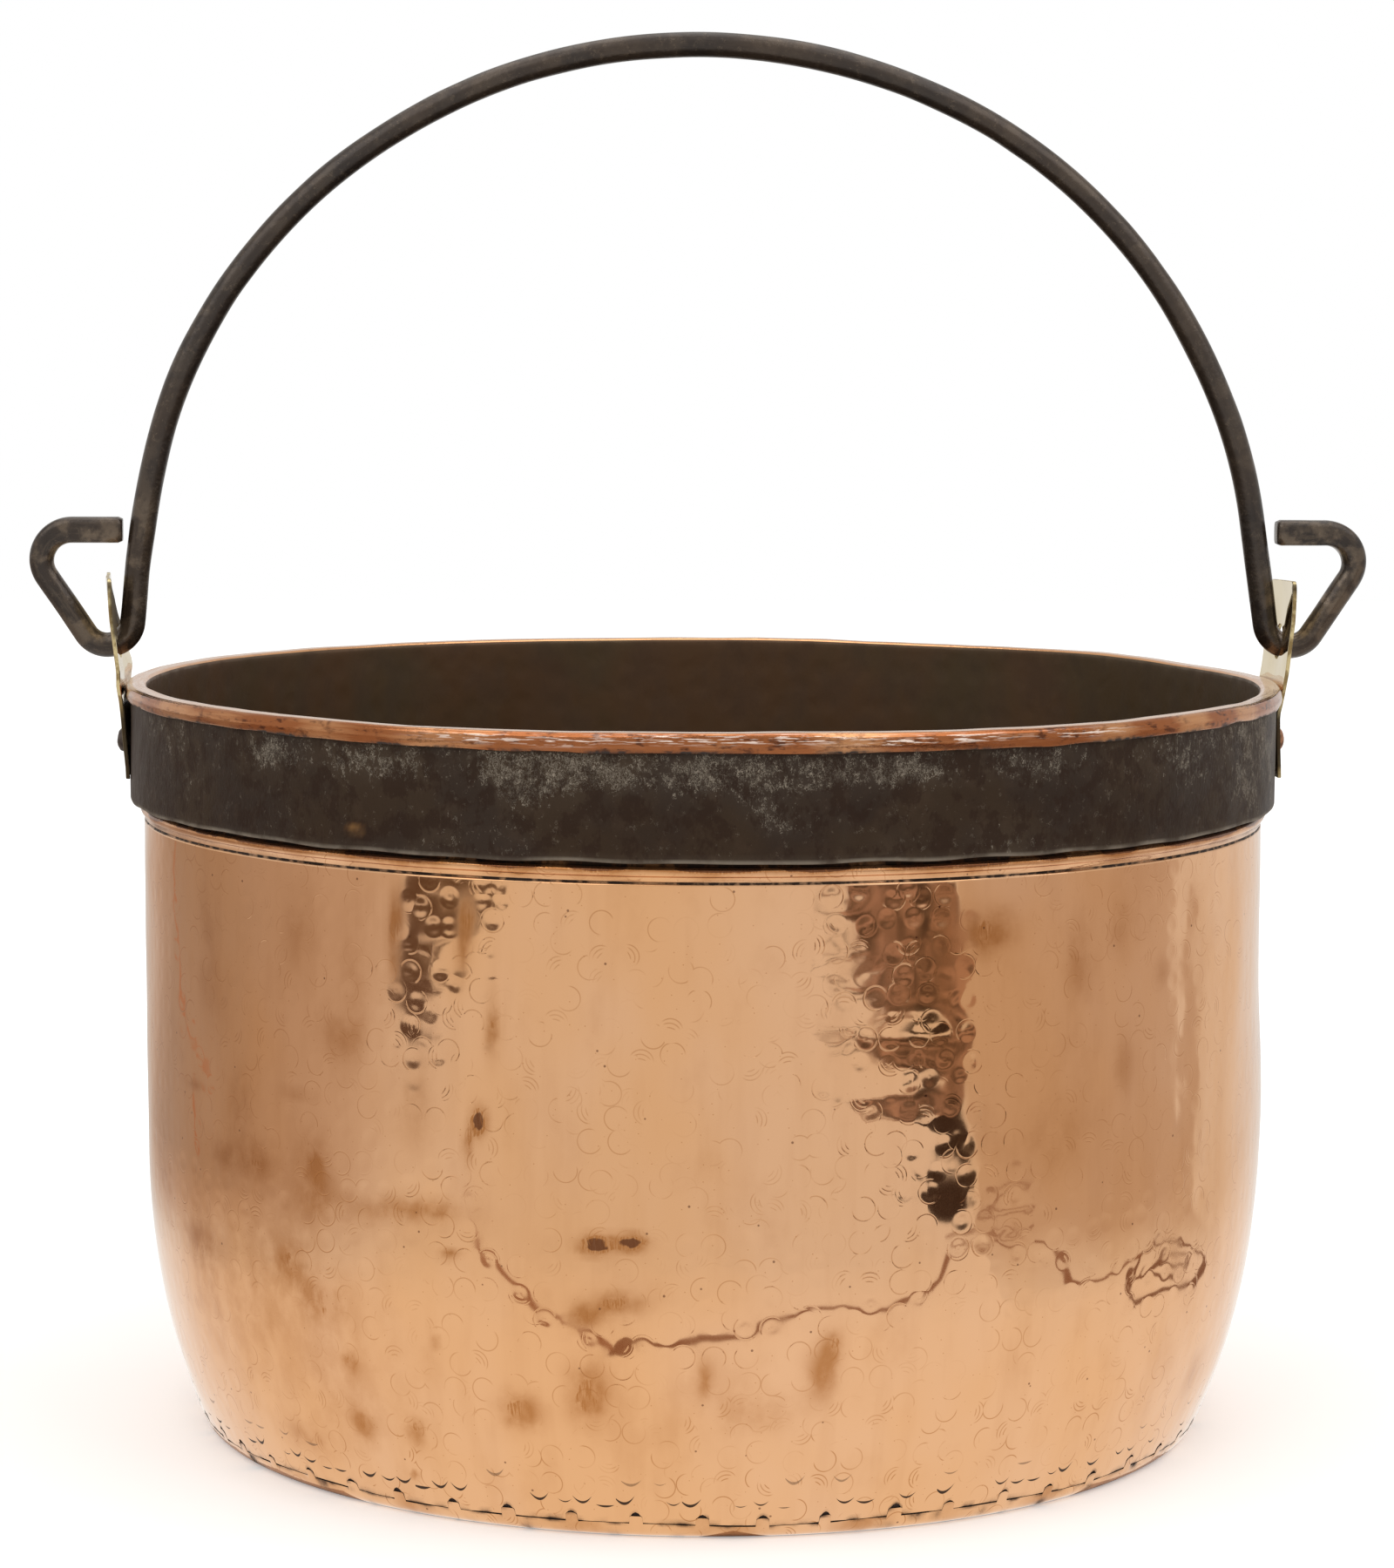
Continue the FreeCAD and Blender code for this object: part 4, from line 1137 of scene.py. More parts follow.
def bail_half():
    """The rod's centre line from the top down to the right-hand tip: a list of arcs as
    (centre, radius, first angle, last angle) and straights as (start, end)."""
    rod = bpy.context.scene.bail_sizes
    heel = (rod.heel_across, rod.heel_up)
    join = math.pi / 2 - rod.crown_angle
    lean, slant = rod.leg_lean, rod.limb_lean
    offset = heel[0] * math.cos(lean) + heel[1] * math.sin(lean) - rod.heel_radius
    first = (math.cos(lean) * math.cos(join) + math.sin(lean) * (math.sin(join) - 1),
             1 - math.cos(join - lean), offset - math.sin(lean) * rod.bail_top)
    second = (math.sin(join) - 1, math.sin(lean) - math.sin(join),
              rod.leg_top - rod.bail_top)
    scale = first[0] * second[1] - first[1] * second[0]
    crown = (first[2] * second[1] - first[1] * second[2]) / scale
    side = (first[0] * second[2] - first[2] * second[0]) / scale
    crown_centre = (0.0, rod.bail_top - crown)
    side_centre = polar(crown_centre, crown - side, join)
    leg_start = polar(side_centre, side, lean)
    leg_end = polar(heel, rod.heel_radius, math.pi + lean)
    limb_start = polar(heel, rod.heel_radius, -slant)
    nose_up = rod.hook_height - rod.nose_radius
    run = (nose_up - rod.nose_radius * math.sin(slant) - limb_start[1]) / math.cos(slant)
    limb_end = polar(limb_start, run, math.pi / 2 - slant)
    nose = polar(limb_end, rod.nose_radius, math.pi - slant)
    nose_end = polar(nose, rod.nose_radius, math.pi / 2)
    tip = (rod.tip_reach, rod.hook_height)
    return [
        (crown_centre, crown, math.pi / 2, join), (side_centre, side, join, lean),
        (leg_start, leg_end), (heel, rod.heel_radius, math.pi + lean, FULL_TURN - slant),
        (limb_start, limb_end), (nose, rod.nose_radius, -slant, math.pi / 2),
        (nose_end, tip),
    ]


def trace(parts, step, fine_step):
    """Follow the arcs and straights with closely spaced points and their directions."""
    points = []
    for part in parts:
        if len(part) == 4:
            centre, radius, first, last = part
            spacing = step if radius > 0.1 else fine_step
            count = max(4, int(abs(last - first) * radius / spacing))
            way = math.copysign(1.0, last - first)
            for turn in np.linspace(first, last, count, endpoint=False):
                x, z = polar(centre, radius, turn)
                points.append((x, z, -math.sin(turn) * way, math.cos(turn) * way))
        else:
            start, end = part
            run = math.hypot(end[0] - start[0], end[1] - start[1])
            count = max(3, int(run / (fine_step * 1.6)))
            for portion in np.linspace(0, 1, count, endpoint=False):
                points.append((start[0] + (end[0] - start[0]) * portion,
                               start[1] + (end[1] - start[1]) * portion,
                               (end[0] - start[0]) / run, (end[1] - start[1]) / run))
    last = parts[-1][1]
    points.append((last[0], last[1], points[-1][2], points[-1][3]))
    return np.array(points)


def build_bail():
    """The forged rod: round over the arch, a little squared along each hook's end."""
    rod = bpy.context.scene.bail_sizes
    right = trace(bail_half(), 0.0026, 0.0012)
    left = right[1:][::-1] * np.array([-1, 1, 1, -1])
    x_line, z_line, x_way, z_way = np.vstack([left, right]).T[:, :, None]
    run = length_along(x_line[:, 0], z_line[:, 0])[:, None]
    total = run[-1, 0]
    from_tip = np.minimum(run, total - run)
    section = np.linspace(0, FULL_TURN, ROD_COLUMNS, endpoint=False)
    cosine, sine = np.cos(section), np.sin(section)
    squared_length, hook_length, tip_ease, half_reach = 0.052, 0.150, 0.0014, 0.25
    squared = rising(from_tip, squared_length, -0.022)
    power = 2.0 + 2.2 * squared
    plain = (np.abs(cosine) ** power + np.abs(sine) ** power) ** (-1 / power)
    leg = rising(z_line, 0.412, 0.02) * rising(z_line, 0.57, -0.05)
    rng = np.random.default_rng(71)
    rough = np.zeros((len(run), len(section)))
    for _ in range(420):
        middle = rng.uniform(0, total)
        reach = rng.uniform(0.006, 0.030)
        turn = rng.uniform(0, FULL_TURN)
        depth = rng.normal(0, 0.00010)
        rough += depth * bell(run, middle, reach) * bell(angle_gap(section, turn), 0, 0.9)
    radius = rod.rod_radius * plain * (1.0 + 0.045 * np.maximum(squared, leg)) + rough
    tip_near = np.clip(1 - from_tip / tip_ease, 0, 1)
    radius *= 1 - 0.14 * (1 - np.sqrt(1 - tip_near ** 2))
    across = x_line / half_reach
    right_side = bell(across, 0.65, 0.40)
    left_side = bell(across, -0.55, 0.28)
    bent = eased(rising(z_line, 0.44, 0.11)) * (
        0.0045 - 0.0015 * across ** 2 - 0.0010 * across - 0.0017 * right_side
        - 0.0012 * left_side)
    left_leg = (x_line < 0) & (from_tip > 0.085)
    splay = rising(z_line, 0.384, 0.036) * rising(z_line, 0.540, -0.06) * left_leg
    bent += 0.0016 * eased(splay)
    x = x_line - bent + z_way * radius * cosine
    z = z_line - x_way * radius * cosine + 0.0008 * right_side * rising(z_line, 0.5, 0.06)
    hook = rising(from_tip, hook_length, -0.05)
    patches = ripple(run / total * FULL_TURN, 72, 10, 80, 0.25)
    # The hooks are worn paler; the last factor paints a highlight along the rod's upper and outer
    # side.
    wear_and_highlight = np.clip(hook * (0.9 + patches) + 0.22, 0, 1) * (
        0.65 + 0.35 * np.cos(section - math.pi))
    wear_and_highlight += 0.8 * bell(z_line, 0.425, 0.026, 4) * left_leg * np.clip(
        -sine - 0.35, 0, 1) * (0.75 + patches)
    return grid_piece("forged_bail", np.stack([x, radius * sine, z], axis=-1),
                      ["satin rod iron"], (section * rod.rod_radius, run), {"wear_and_highlight": wear_and_highlight},
                      ends=(0, 1))


# An ear in the photograph: height, distance of its inner face from the axis, and how far
# the right and left ears' front and back edges stand out beyond it, in millimetres.
EAR_SHAPE = [
    (314.5, 277.1, 2, 0, 0.3, 0), (320, 277.1, 1.8, 0, 0.6, 0), (330, 277.1, 1.3, 0, 1.6, 0),
    (345, 277.1, 0.9, 0, 2.8, 0), (351.5, 279.19, 0.3, 0, 1.4, 0),
    (358, 279.9, 0.1, 0.1, 1.2, 0.1), (366, 280.5, 0, 0, -0.2, -2.4), (374, 281.3, 0, 0, 0, -0.5),
    (381, 282.05, 0, 0, 0.1, 0.5), (390, 283.05, 0, 0, 0.2, 2.3), (396, 283.6, -0.3, 0, 0.1, 3.5),
    (403, 284.05, -0.6, 0, -0.1, 4.4), (410, 284.2, -0.8, 0, -0.2, 4.5),
]
EAR_HALF = 0.0300
EAR_TOP = 0.410
EAR_BREAK = 0.352
EYE_HEIGHT = 0.3788
EYE_RADIUS = 0.0085


def ear_face(across, height, side):
    """Distance outward to an ear's inner face: round the hoop below, nearly flat above."""
    table = np.array(EAR_SHAPE) / 1000
    first = 2 if side > 0 else 4
    middle, front, back = (np.interp(height, table[:, 0], table[:, column])
                           for column in (1, first, first + 1))
    bow = middle - np.sqrt(middle ** 2 - across ** 2)
    flat = rising(height, EAR_BREAK, 0.014)
    edge = np.abs(across / EAR_HALF) ** 1.4
    middle = middle + 0.0007 * bell(np.hypot(across, height - EYE_HEIGHT), 0, 0.016, 4)
    if side < 0:
        middle = middle + np.interp(height, (0.388, 0.396, 0.400, 0.405, 0.410),
                                    (0, 0.0005, 0.0012, 0.0022, 0.0025)) * (1 - edge)
    return middle - bow * (1 - 0.93 * flat) + np.where(across < 0, front, back) * edge


def ear_plan():
    """An ear laid flat: points across and up, and the loops of its faces. Rings lead from
    the eye out to the upper outline, and rows go down from its foot."""
    half, corner, rings = EAR_HALF, 0.004, 7
    across = np.linspace(-half, half, 25)
    climb = np.linspace(EAR_BREAK, EAR_TOP - corner, 18)[1:]
    outline = [(x, EAR_BREAK) for x in across] + [(half, z) for z in climb]
    outline += bend(half - corner, EAR_TOP - corner, corner, 0, 90, 6)[1:]
    outline += [(x, EAR_TOP) for x in np.linspace(half - corner, corner - half, 21)[1:]]
    outline += bend(corner - half, EAR_TOP - corner, corner, 90, 180, 6)[1:]
    outline = np.array(outline + [(-half, z) for z in climb[-2::-1]])
    away = outline - (0, EYE_HEIGHT)
    eye = away / np.linalg.norm(away, axis=1)[:, None] * EYE_RADIUS + (0, EYE_HEIGHT)
    steps = (1 - np.array([0, 0.06, 0.16, 0.30, 0.48, 0.70, 0.88, 1.0]))[:, None, None]
    points = (outline + (eye - outline) * steps).reshape(-1, 2).tolist()
    count = len(outline)
    faces = [(ring * count + spot, ring * count + (spot + 1) % count,
              (ring + 1) * count + (spot + 1) % count, (ring + 1) * count + spot)
             for ring in range(rings) for spot in range(count)]
    above = rings * count
    for height in np.linspace(EAR_BREAK, EAR_SHAPE[0][0] / 1000, 14)[1:]:
        below = len(points)
        points += [(x, height) for x in across]
        faces += [(above + spot, above + spot + 1, below + spot + 1, below + spot)
                  for spot in range(len(across) - 1)]
        above = below
    return np.array(points), faces


def ear_tarnish_and_reflection(place, side):
    """How tarnished an ear is at a place: its lower strap and its back corner. On the left one's
    inner face round the rod it paints the rod's dark reflection."""
    low = (0.352 - place.z) / 0.008
    toe = max((place.z - 0.3165) / 0.004, 0.25) if side > 0 else 1.0
    aged = 0.9 if place.z > 0.4035 and abs(place.y) > 0.0285 else 0.0
    # A painted dark reflection of the rod on the left ear's inner face.
    if side < 0 and 0.381 < place.z < 0.404:
        if abs(place.x) < ear_face(place.y, place.z, side) + 0.001:
            aged = 1.0
    return max(0.0, min(1.0, low, toe), aged)


def build_ear(name, side):
    """A brass ear: a strap with a round eye, lapped on the hoop and leaning outward."""
    plan, faces = ear_plan()
    inner = ear_face(plan[:, 0], plan[:, 1], side)
    if side > 0:
        plan[:, 1] -= 0.0024 * rising(plan[:, 1], 0.392, 0.016) * np.clip(
            0.5 + plan[:, 0] / 0.060, 0, 1)
    shape = bmesh.new()
    near, far = ([shape.verts.new(((out + thick) * side, x, z))
                  for out, (x, z) in zip(inner, plan)]
                 for thick in (0.0, sizes().sheet_thick))
    links = {}
    for loop in faces:
        shape.faces.new([near[spot] for spot in loop])
        shape.faces.new([far[spot] for spot in reversed(loop)])
        links.update(((first, second), True) for first, second in zip(
            loop, loop[1:] + loop[:1]))
    for first, second in links:
        if (second, first) not in links:
            shape.faces.new([near[second], near[first], far[first], far[second]]
                            ).material_index = 1
    bmesh.ops.recalc_face_normals(shape, faces=shape.faces)
    mesh = bpy.data.meshes.new(name)
    shape.to_mesh(mesh)
    shape.free()
    piece = link_object(name, mesh)
    ease = piece.modifiers.new("eased edges", "BEVEL")
    ease.width = 0.0005
    ease.segments = 3
    ease.limit_method = "ANGLE"
    ease.angle_limit = math.radians(40)
    ease.harden_normals = True
    for made in ("polished brass", "aged brass edge"):
        mesh.materials.append(bpy.data.materials[made])
    # Tarnish, and on the left ear's inner face a painted dark reflection of the rod.
    layer = mesh.attributes.new("tarnish", "FLOAT", "POINT")
    for vertex, value in zip(mesh.vertices, layer.data):
        value.value = ear_tarnish_and_reflection(vertex.co, side)
    mesh.polygons.foreach_set("use_smooth", np.ones(len(mesh.polygons), bool))
    return piece


def build_rivet(name, side, swing, metal, seed):
    """A rivet: hammered dome outside, shank, and the end closed over inside."""
    pot = sizes()
    clearance, shank, inner_head = 0.0003, 0.0032, 0.0048
    face = pot.wall_radius + clearance + pot.band_thick + pot.sheet_thick
    if swing * side < 0:
        place = -face * math.sin(pot.rivet_angle)
        face += float(ear_face(place, pot.rivet_height, side)
                      - ear_face(-place, pot.rivet_height, side))
    inner = pot.wall_radius - pot.sheet_thick - 0.0001
    sections = [(face + pot.head_rise * math.sin(turn), pot.head_radius * math.cos(turn))
                for turn in np.linspace(math.pi / 2, 0, 9)]
    sections += [(face, pot.head_radius * 0.985), (face, shank), (inner, shank),
                 (inner, inner_head), (inner - 0.0007, 0.0047), (inner - 0.0013, 0.0037),
                 (inner - 0.0014, 0.0)]
    turns = np.linspace(0, FULL_TURN, RIVET_COLUMNS, endpoint=False)
    rng = np.random.default_rng(seed)
    uneven = 1 + 0.035 * np.cos(2 * turns + rng.uniform(0, 6)) + 0.025 * np.cos(
        3 * turns + rng.uniform(0, 6))
    points = []
    for out, wide in sections:
        wide = max(wide, 0.00004)
        dip = 0.00012 * np.cos(turns + rng.uniform(0, 6)) * (wide > 0.001)
        points.append(np.stack([out + dip, wide * uneven * np.cos(turns),
                                wide * uneven * np.sin(turns)], axis=-1))
    piece = grid_piece(name, np.array(points)[:, ::-1], [metal], ends=(0, 1))
    spin = Matrix.Rotation(swing if side > 0 else math.pi + swing, 4, "Z")
    piece.data.transform(Matrix.Translation((0, 0, pot.rivet_height)) @ spin)
    return piece


def settle(piece, body, slot, *nodes):
    """Say which body a piece rides on and which nodes it replaces. The slot is not used."""
    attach(piece, body)
    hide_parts(*nodes)


class POT_OT_finishes(bpy.types.Operator):
    """Make the shared effects and every finish"""
    bl_idname = "pot.finishes"
    bl_label = "Make Finishes"

    def execute(self, context):
        for make in (make_mottle, make_flecks, make_specks, make_streaks, make_hammer_marks,
                     make_scallops, make_forged_grain):
            make()
        look = context.scene.pot_finish
        for make in (copper_finish, rim_finish, lining_finish, hoop_finish, rod_finish,
                     brass_finish, brass_edge_finish, seam_dirt_and_shade_finish):
            make(look)
        rivet_finish(look, "tarnished rivet copper", look.rivet_copper, 0.9, 0.30)
        rivet_finish(look, "dark rivet iron", look.rivet_iron, 0.5, 0.45)
        return {"FINISHED"}


class POT_OT_copper(bpy.types.Operator):
    """Build the beaten wall, its turned rim and dark lining, and the base pan"""
    bl_idname = "pot.copper"
    bl_label = "Build Copper"

    def execute(self, context):
        settle(build_wall(), "pot", "copper", "pot_wall")
        settle(build_rim(), "pot", "copper", "pot_wall")
        settle(build_pan(), "pot", "copper", "base_pan")
        settle(build_seam_dirt_and_shade(), "pot", "copper", "base_pan")
        return {"FINISHED"}


class POT_OT_hoop(bpy.types.Operator):
    """Build the forged iron hoop"""
    bl_idname = "pot.hoop"
    bl_label = "Build Hoop"

    def execute(self, context):
        settle(build_hoop(), "pot", "hoop_iron", "iron_band")
        return {"FINISHED"}


class POT_OT_ears(bpy.types.Operator):
    """Build the two brass ears"""
    bl_idname = "pot.ears"
    bl_label = "Build Ears"

    def execute(self, context):
        settle(build_ear("ear_right_strap", 1), "pot", "ear_brass", "ear_right")
        settle(build_ear("ear_left_strap", -1), "pot", "ear_brass", "ear_left")
        return {"FINISHED"}


class POT_OT_rivets(bpy.types.Operator):
    """Build the four rivets"""
    bl_idname = "pot.rivets"
    bl_label = "Build Rivets"

    def execute(self, context):
        swing = sizes().rivet_angle
        copper, iron = "tarnished rivet copper", "dark rivet iron"
        for node, side, turn, metal, slot, seed in (
                ("rivet_right_front", 1, -swing, copper, "rivet_copper", 81),
                ("rivet_right_back", 1, swing, copper, "rivet_copper", 82),
                ("rivet_left_front", -1, swing, iron, "rivet_iron", 83),
                ("rivet_left_back", -1, -swing, iron, "rivet_iron", 84)):
            settle(build_rivet(node + "_beaten", side, turn, metal, seed), "pot", slot, node)
        return {"FINISHED"}


class POT_OT_bail(bpy.types.Operator):
    """Build the forged iron bail with its two hooks"""
    bl_idname = "pot.bail"
    bl_label = "Build Bail"

    def execute(self, context):
        settle(build_bail(), "bail", "bail_iron", "bail")
        return {"FINISHED"}


# Outlines of the dark gaps between the studio's papers, and lines, widths and levels of the
# papers' edges, on the floor in metres.
GAP_LEFT = [
    (-2.15, -1.19), (-1.99, -1.08), (-1.88, -0.99), (-1.68, -0.93), (-1.53, -0.94),
    (-1.386, -0.887), (-1.4, -0.99), (-1.43, -1.1), (-1.49, -1.19), (-1.57, -1.1), (-1.62, -1.16),
    (-1.58, -1.3), (-1.7, -1.17), (-1.81, -1.11), (-1.87, -1.18), (-1.83, -1.37), (-1.69, -1.61),
    (-1.62, -1.8), (-1.8, -2.1), (-2.5, -1.7),
]
GAP_RIGHT = [
    (0.663, -0.746), (0.634, -0.807), (0.654, -0.855), (0.685, -0.908), (0.675, -0.963),
    (0.656, -1.015), (0.691, -1.067), (0.853, -0.981), (0.897, -1.046), (0.87, -1.114),
    (0.789, -1.221), (0.653, -1.361), (0.633, -1.409), (0.841, -1.315), (0.8, -1.27),
    (0.76, -1.4), (0.66, -1.52), (0.51, -1.6), (0.7, -1.58), (0.81, -1.65), (0.8, -1.76),
    (0.64, -1.93), (0.86, -1.97), (0.82, -2.1), (0.68, -2.28), (0.95, -2.25), (1.1, -2.45),
    (1.15, -2.9), (2.4, -2.45), (1.78, -1.76), (1.6, -1.5), (1.62, -1.36), (1.44, -1.33),
    (1.32, -1.23), (0.899, -0.912), (0.789, -0.8), (0.709, -0.75),
]
GAP_FOOT = GAP_RIGHT[:7] + GAP_RIGHT[-3:]
PAPER_LINES = [
    ([(-0.588, -0.6), (-0.526, -0.594), (-0.421, -0.554), (-0.342, -0.511), (-0.287, -0.485),
      (-0.244, -0.465), (-0.201, -0.464), (-0.158, -0.444), (-0.124, -0.42)], 0.01, 1.25),
    ([(-0.124, -0.408), (-0.116, -0.421), (-0.114, -0.45), (-0.087, -0.443), (-0.056, -0.445),
      (-0.023, -0.463), (0.035, -0.473), (0.054, -0.498), (0.099, -0.515), (0.115, -0.539),
      (0.165, -0.527), (0.191, -0.5), (0.222, -0.48), (0.262, -0.496), (0.306, -0.494),
      (0.369, -0.527), (0.503, -0.627), (0.591, -0.615), (0.647, -0.567), (0.602, -0.463),
      (0.649, -0.431), (0.576, -0.352), (0.509, -0.312), (0.487, -0.267), (0.52, -0.21),
      (0.563, -0.168), (0.589, -0.13)], 0.013, 1),
    ([(0.56, -0.694), (0.644, -0.657), (0.697, -0.6), (0.725, -0.631), (0.779, -0.593),
      (0.779, -0.512), (0.737, -0.517), (0.676, -0.586), (0.625, -0.642),
      (0.56, -0.694)], 0.013, 1),
    ([(0.589, -0.13), (0.638, -0.081), (0.606, -0.019), (0.556, 0.024), (0.504, 0.046),
      (0.457, -0.008), (0.454, -0.086), (0.42, -0.15), (0.47, -0.166), (0.519, -0.159),
      (0.589, -0.13)], 0.012, 0.8),
    ([(0.48, -0.16), (0.52, -0.1), (0.56, -0.06), (0.54, 0), (0.5, -0.03), (0.53, -0.09),
      (0.5, -0.12), (0.48, -0.06)], 0.011, 0.8),
    ([(-1.768, 1.593), (-1.494, 1.439), (-1.389, 1.184), (-1.356, 1.062), (-1.232, 0.934),
      (-1.146, 0.768), (-1.159, 0.575), (-1.111, 0.454)], 0.024, 1.5),
    ([(-1.019, 0.564), (-0.899, 0.461), (-0.842, 0.387)], 0.018, 1.5),
]

# Brightness of the studio's sides: degrees to the right of the front, and level.
SIDE_LEVELS = [
    (-180, 0.78), (-150, 0.62), (-140, 0.5), (-132, 0.44), (-115, 0.46), (-95, 0.52), (-78, 0.6),
    (-69, 0.66), (-58, 0.78), (-46, 0.84), (0, 0.84), (44.8, 0.84), (45.8, 0.66), (60, 0.64),
    (85, 0.62), (100, 0.64), (104, 0.8), (120, 0.85), (150, 0.84),
]


def only_reflected(card, tree, shine):
    """Let a card be seen in reflections only, and give it its glow."""
    tree.give(Surface=shine)
    card.visible_camera = False
    card.visible_diffuse = False
    card.visible_shadow = False
    card.visible_transmission = False


def glow_card(name, points, faces, made, tint, strength, patch=0.0):
    """A card on the floor with a glow that is even, or in brighter and dimmer patches of
    one size."""
    mesh = bpy.data.meshes.new(name)
    mesh.from_pydata(points, [], faces)
    card = link_object(name, mesh)
    mesh.materials.append(bpy.data.materials.new(made))
    tree = start_nodes(mesh.materials[0])
    if patch:
        strength = tree.mottle(patch, 0.35, 0.65).ranged(0.0, 1.0, 0.30, 1.75)
    shine = tree.put("Emission", {"Color": tint, "Strength": strength})
    only_reflected(card, tree, shine)


def flat_card(name, corners, height, *glow):
    """A card with one outline."""
    glow_card(name, [(x, y, height) for x, y in corners], [range(len(corners))], *glow)


def ribbon_card(name, line, width, tint, level):
    """A thin uneven ribbon on the floor."""
    points = np.array(line)
    way = np.gradient(points, axis=0)
    way /= np.linalg.norm(way, axis=1)[:, None]
    rng = np.random.default_rng(91)
    half = width / 2 * rng.uniform(0.45, 1.6, len(points))[:, None]
    across = np.stack([-way[:, 1], way[:, 0]], axis=-1) * half
    ribbon = np.concatenate([points + across, points - across])
    count = len(points)
    glow_card(name, [(x, y, RIBBON_LEVEL) for x, y in ribbon],
              [(row, row + 1, count + row + 1, count + row) for row in range(count - 1)],
              name, tint, level)


def soft_card(name, height):
    """The studio's dimmer sides, as a large card with a brightness that changes with the
    direction from the pot: bright in front and behind, dimmer at both sides."""
    degrees, level = np.array(SIDE_LEVELS).T
    radii, amounts = np.array([(0.245, 0.0), (0.34, 0.0), (0.50, 0.15), (0.62, 0.5),
                               (0.9, 1.0), (1.6, 1.0), (6.0, 1.0)]).T[:, :, None]
    turns = np.radians(degrees - 90)
    glow = 0.99 + (level - 0.99) * amounts
    piece = grid_piece(name, ring_points(radii, height, turns), masks={"glow": glow})
    piece.data.materials.append(bpy.data.materials.new("soft card"))
    tree = start_nodes(piece.data.materials[0])
    amount = tree.mask("glow")
    tint = tree.blend(amount.ranged(0.50, 0.86), (1.0, 0.84, 0.72), (1.0, 0.985, 0.955))
    only_reflected(piece, tree, tree.put("Emission", {"Color": tint, "Strength": amount}))


def build_floor():
    """A pale floor that keeps the pot's shadow."""
    mesh = bpy.data.meshes.new("floor")
    reach = 6.0
    mesh.from_pydata([(-reach, -reach, 0), (reach, -reach, 0), (reach, reach, 0),
                      (-reach, reach, 0)], [], [(0, 1, 2, 3)])
    floor = link_object("floor", mesh)
    mesh.materials.append(bpy.data.materials.new("pale floor"))
    tree = start_nodes(mesh.materials[0])
    paper = tree.put("BsdfDiffuse", {"Color": (0.86, 0.86, 0.86)})
    away = tree.vector("LENGTH", tree.place())
    lift = tree.put("Emission", {"Color": WHITE,
                                 "Strength": away.ranged(0.30, 2.0, 0.31, 0.62)})
    both = tree.put("AddShader", {0: paper, 1: lift})
    seen = tree.put("LightPath", out="Is Camera Ray")
    tree.give(Surface=tree.put("MixShader", {0: seen, 1: paper, 2: both}))


def build_world(look):
    """An even pale room: white behind the pot, a little softer as a light."""
    world = bpy.data.worlds.new("pale room")
    bpy.context.scene.world = world
    tree = start_nodes(world, "ShaderNodeOutputWorld")
    white, shine, room = (
        tree.put("Background", {"Color": tint, "Strength": level}) for tint, level in (
            (WHITE, 1.0), ((1.0, 0.98, 0.95), look.shine_level),
            ((1.0, 0.99, 0.97), look.room_level)))
    seen, glossy = tree.put("LightPath", out=("Is Camera Ray", "Is Glossy Ray"))
    light = tree.put("MixShader", {0: glossy, 1: room, 2: shine})
    tree.give(Surface=tree.put("MixShader", {0: seen, 1: light, 2: white}))


def soft_lamp(name, place, width, tall, power):
    """A large soft lamp that points at the pot."""
    light = bpy.data.lights.new(name, "AREA")
    light.shape = "RECTANGLE"
    light.size = width
    light.size_y = tall
    light.energy = power
    lamp = link_object(name, light)
    lamp.location = place
    aim = Vector((0, 0, 0.3)) - Vector(place)
    lamp.rotation_euler = aim.to_track_quat("-Z", "Y").to_euler()


def build_camera(look):
    """The camera at the photograph's angle."""
    turn = Matrix.Rotation(-look.pot_turn, 4, "Z")
    place = Vector((-look.camera_aside, -look.camera_back, look.camera_up))
    tilt = Matrix.Rotation(math.pi / 2 - look.camera_pitch, 4, "X")
    roll = Matrix.Rotation(look.camera_roll, 4, "Z")
    lens = bpy.data.cameras.new("camera")
    lens.lens = look.lens
    lens.sensor_width = 36
    lens.sensor_fit = "AUTO"
    camera = link_object("camera", lens)
    camera.matrix_world = turn @ Matrix.Translation(place) @ tilt @ roll
    bpy.context.scene.camera = camera


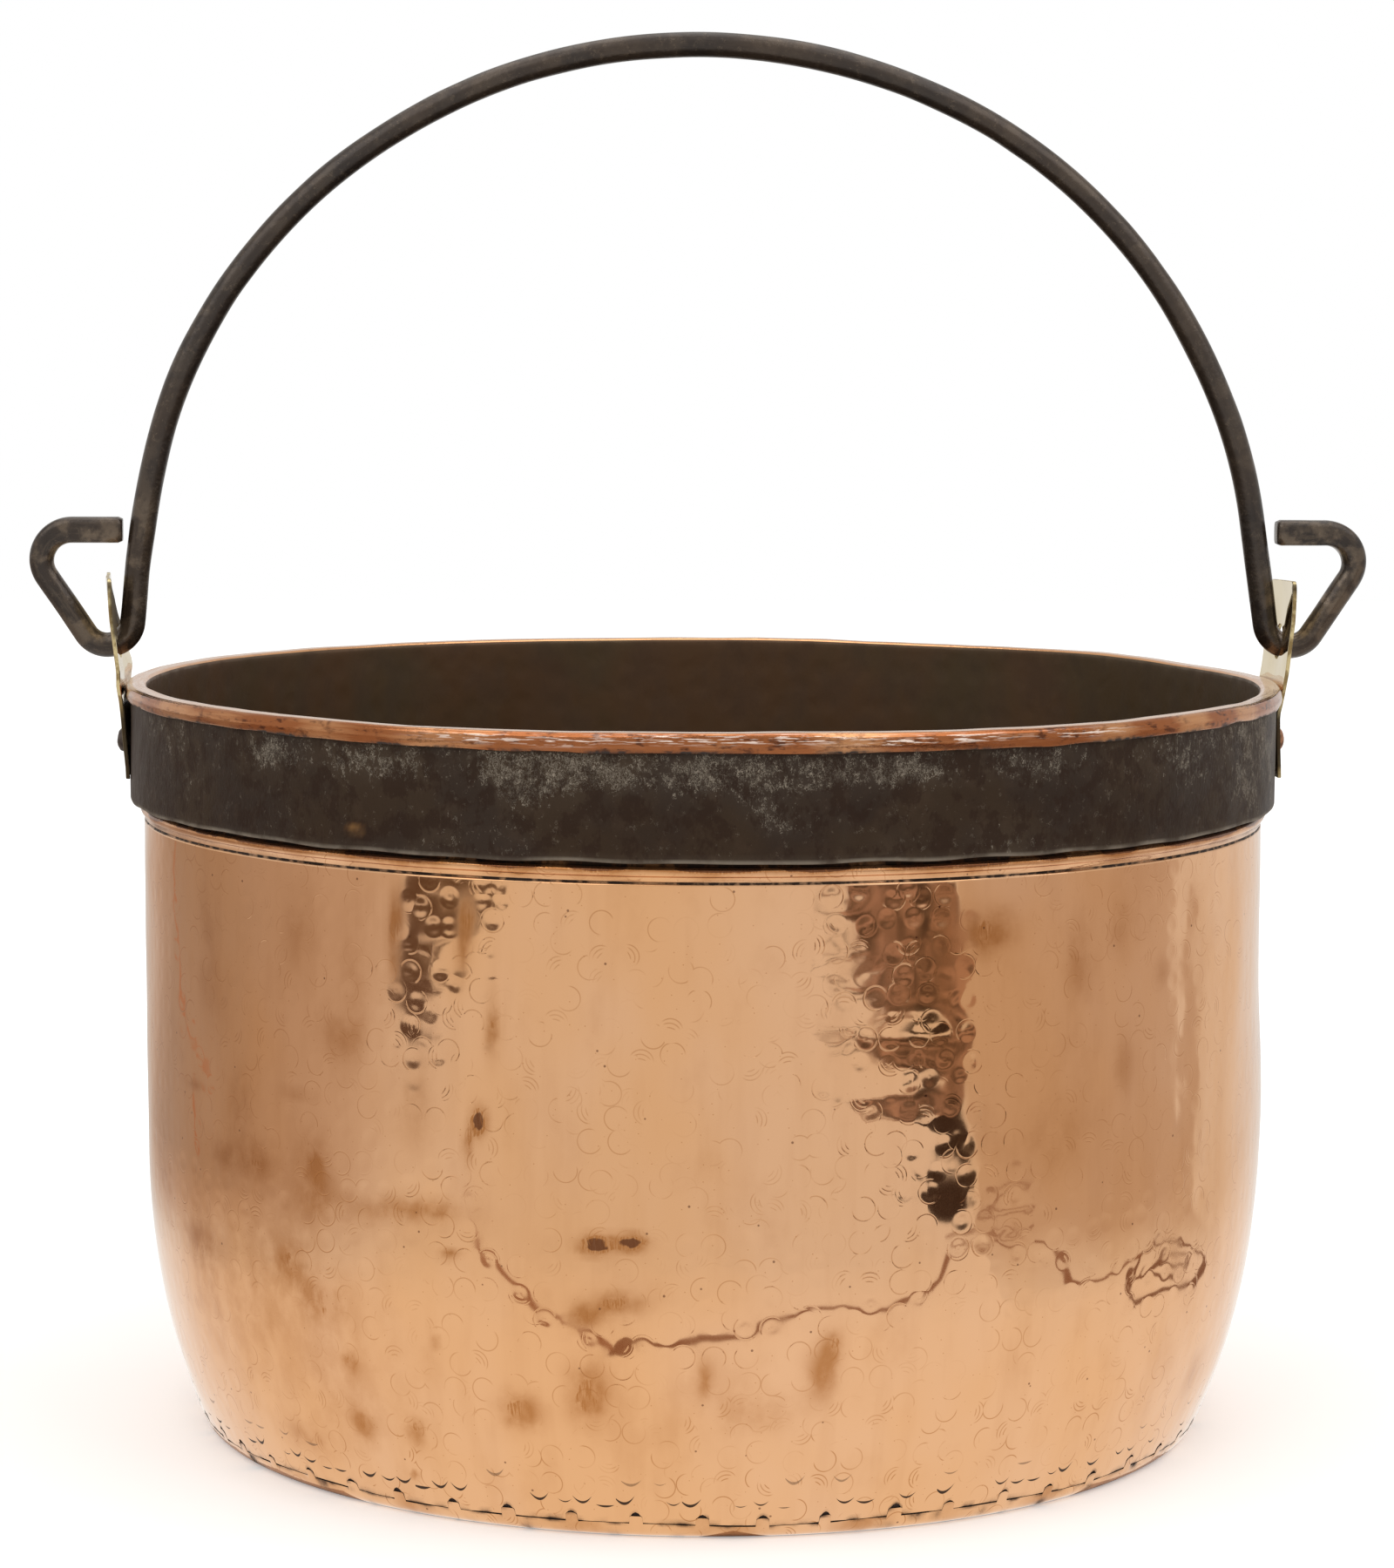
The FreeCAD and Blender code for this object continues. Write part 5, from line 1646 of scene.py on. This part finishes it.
class POT_OT_stage(bpy.types.Operator):
    """Lay the floor, light the room and place the camera"""
    bl_idname = "pot.stage"
    bl_label = "Set Stage"

    def execute(self, context):
        look = context.scene.stage_look
        build_floor()
        build_world(look)
        soft_card("soft_card", SOFT_LEVEL)
        flat_card("gap_left", GAP_LEFT, GAP_LEVEL, "dark gap", (0.13, 0.084, 0.064), 1.0)
        flat_card("gap_right", GAP_RIGHT, GAP_LEVEL, "brown gap", (0.27, 0.19, 0.155), 1.0,
                  0.20)
        flat_card("gap_foot", GAP_FOOT, FOOT_LEVEL, "black gap", (0.05, 0.034, 0.027), 1.0)
        for number, (line, width, level) in enumerate(PAPER_LINES):
            ribbon_card("paper_edge_%d" % (number + 1), line, width, (0.31, 0.18, 0.125),
                        level)
        for name, place, width, tall in (("lamp_left", (-1.5, -1.5, 2.4), 2.3, 2.3),
                                         ("lamp_right", (1.6, -1.2, 2.4), 2.3, 2.3),
                                         ("lamp_top", (0.0, 0.4, 2.8), 2.4, 2.0)):
            soft_lamp(name, place, width, tall, look.lamp_power)
        build_camera(look)
        context.scene.view_settings.view_transform = "Standard"
        return {"FINISHED"}


class POT_PT_panel(bpy.types.Panel):
    """Lists the pot's operators"""
    bl_idname = "POT_PT_panel"
    bl_label = "Copper and Iron Pot"
    bl_space_type = "VIEW_3D"
    bl_region_type = "UI"
    bl_category = "Pot"

    def draw(self, context):
        for operator in BUILD_ORDER:
            self.layout.operator(operator.bl_idname)
        for group in (context.scene.pot_sizes, context.scene.bail_sizes,
                      context.scene.pot_finish, context.scene.stage_look):
            box = self.layout.box()
            for name in group.__annotations__:
                box.prop(group, name)


BUILD_ORDER = (POT_OT_finishes, POT_OT_copper, POT_OT_hoop, POT_OT_ears, POT_OT_rivets,
               POT_OT_bail, POT_OT_stage)
SETTINGS = (("pot_sizes", PotSizes), ("bail_sizes", BailSizes), ("pot_finish", PotFinish),
            ("stage_look", StageLook))


def register():
    """Register the settings, the operators and the panel."""
    for name, group in SETTINGS:
        bpy.utils.register_class(group)
        setattr(bpy.types.Scene, name, bpy.props.PointerProperty(type=group))
    for operator in BUILD_ORDER:
        bpy.utils.register_class(operator)
    bpy.utils.register_class(POT_PT_panel)


def unregister():
    """Take the panel, the operators and the settings away again."""
    bpy.utils.unregister_class(POT_PT_panel)
    for operator in reversed(BUILD_ORDER):
        bpy.utils.unregister_class(operator)
    for name, group in reversed(SETTINGS):
        delattr(bpy.types.Scene, name)
        bpy.utils.unregister_class(group)


def main():
    """Build everything in order."""
    register()
    bpy.ops.pot.finishes()
    bpy.ops.pot.copper()
    bpy.ops.pot.hoop()
    bpy.ops.pot.ears()
    bpy.ops.pot.rivets()
    bpy.ops.pot.bail()
    bpy.ops.pot.stage()


if __name__ == "__main__":
    main()
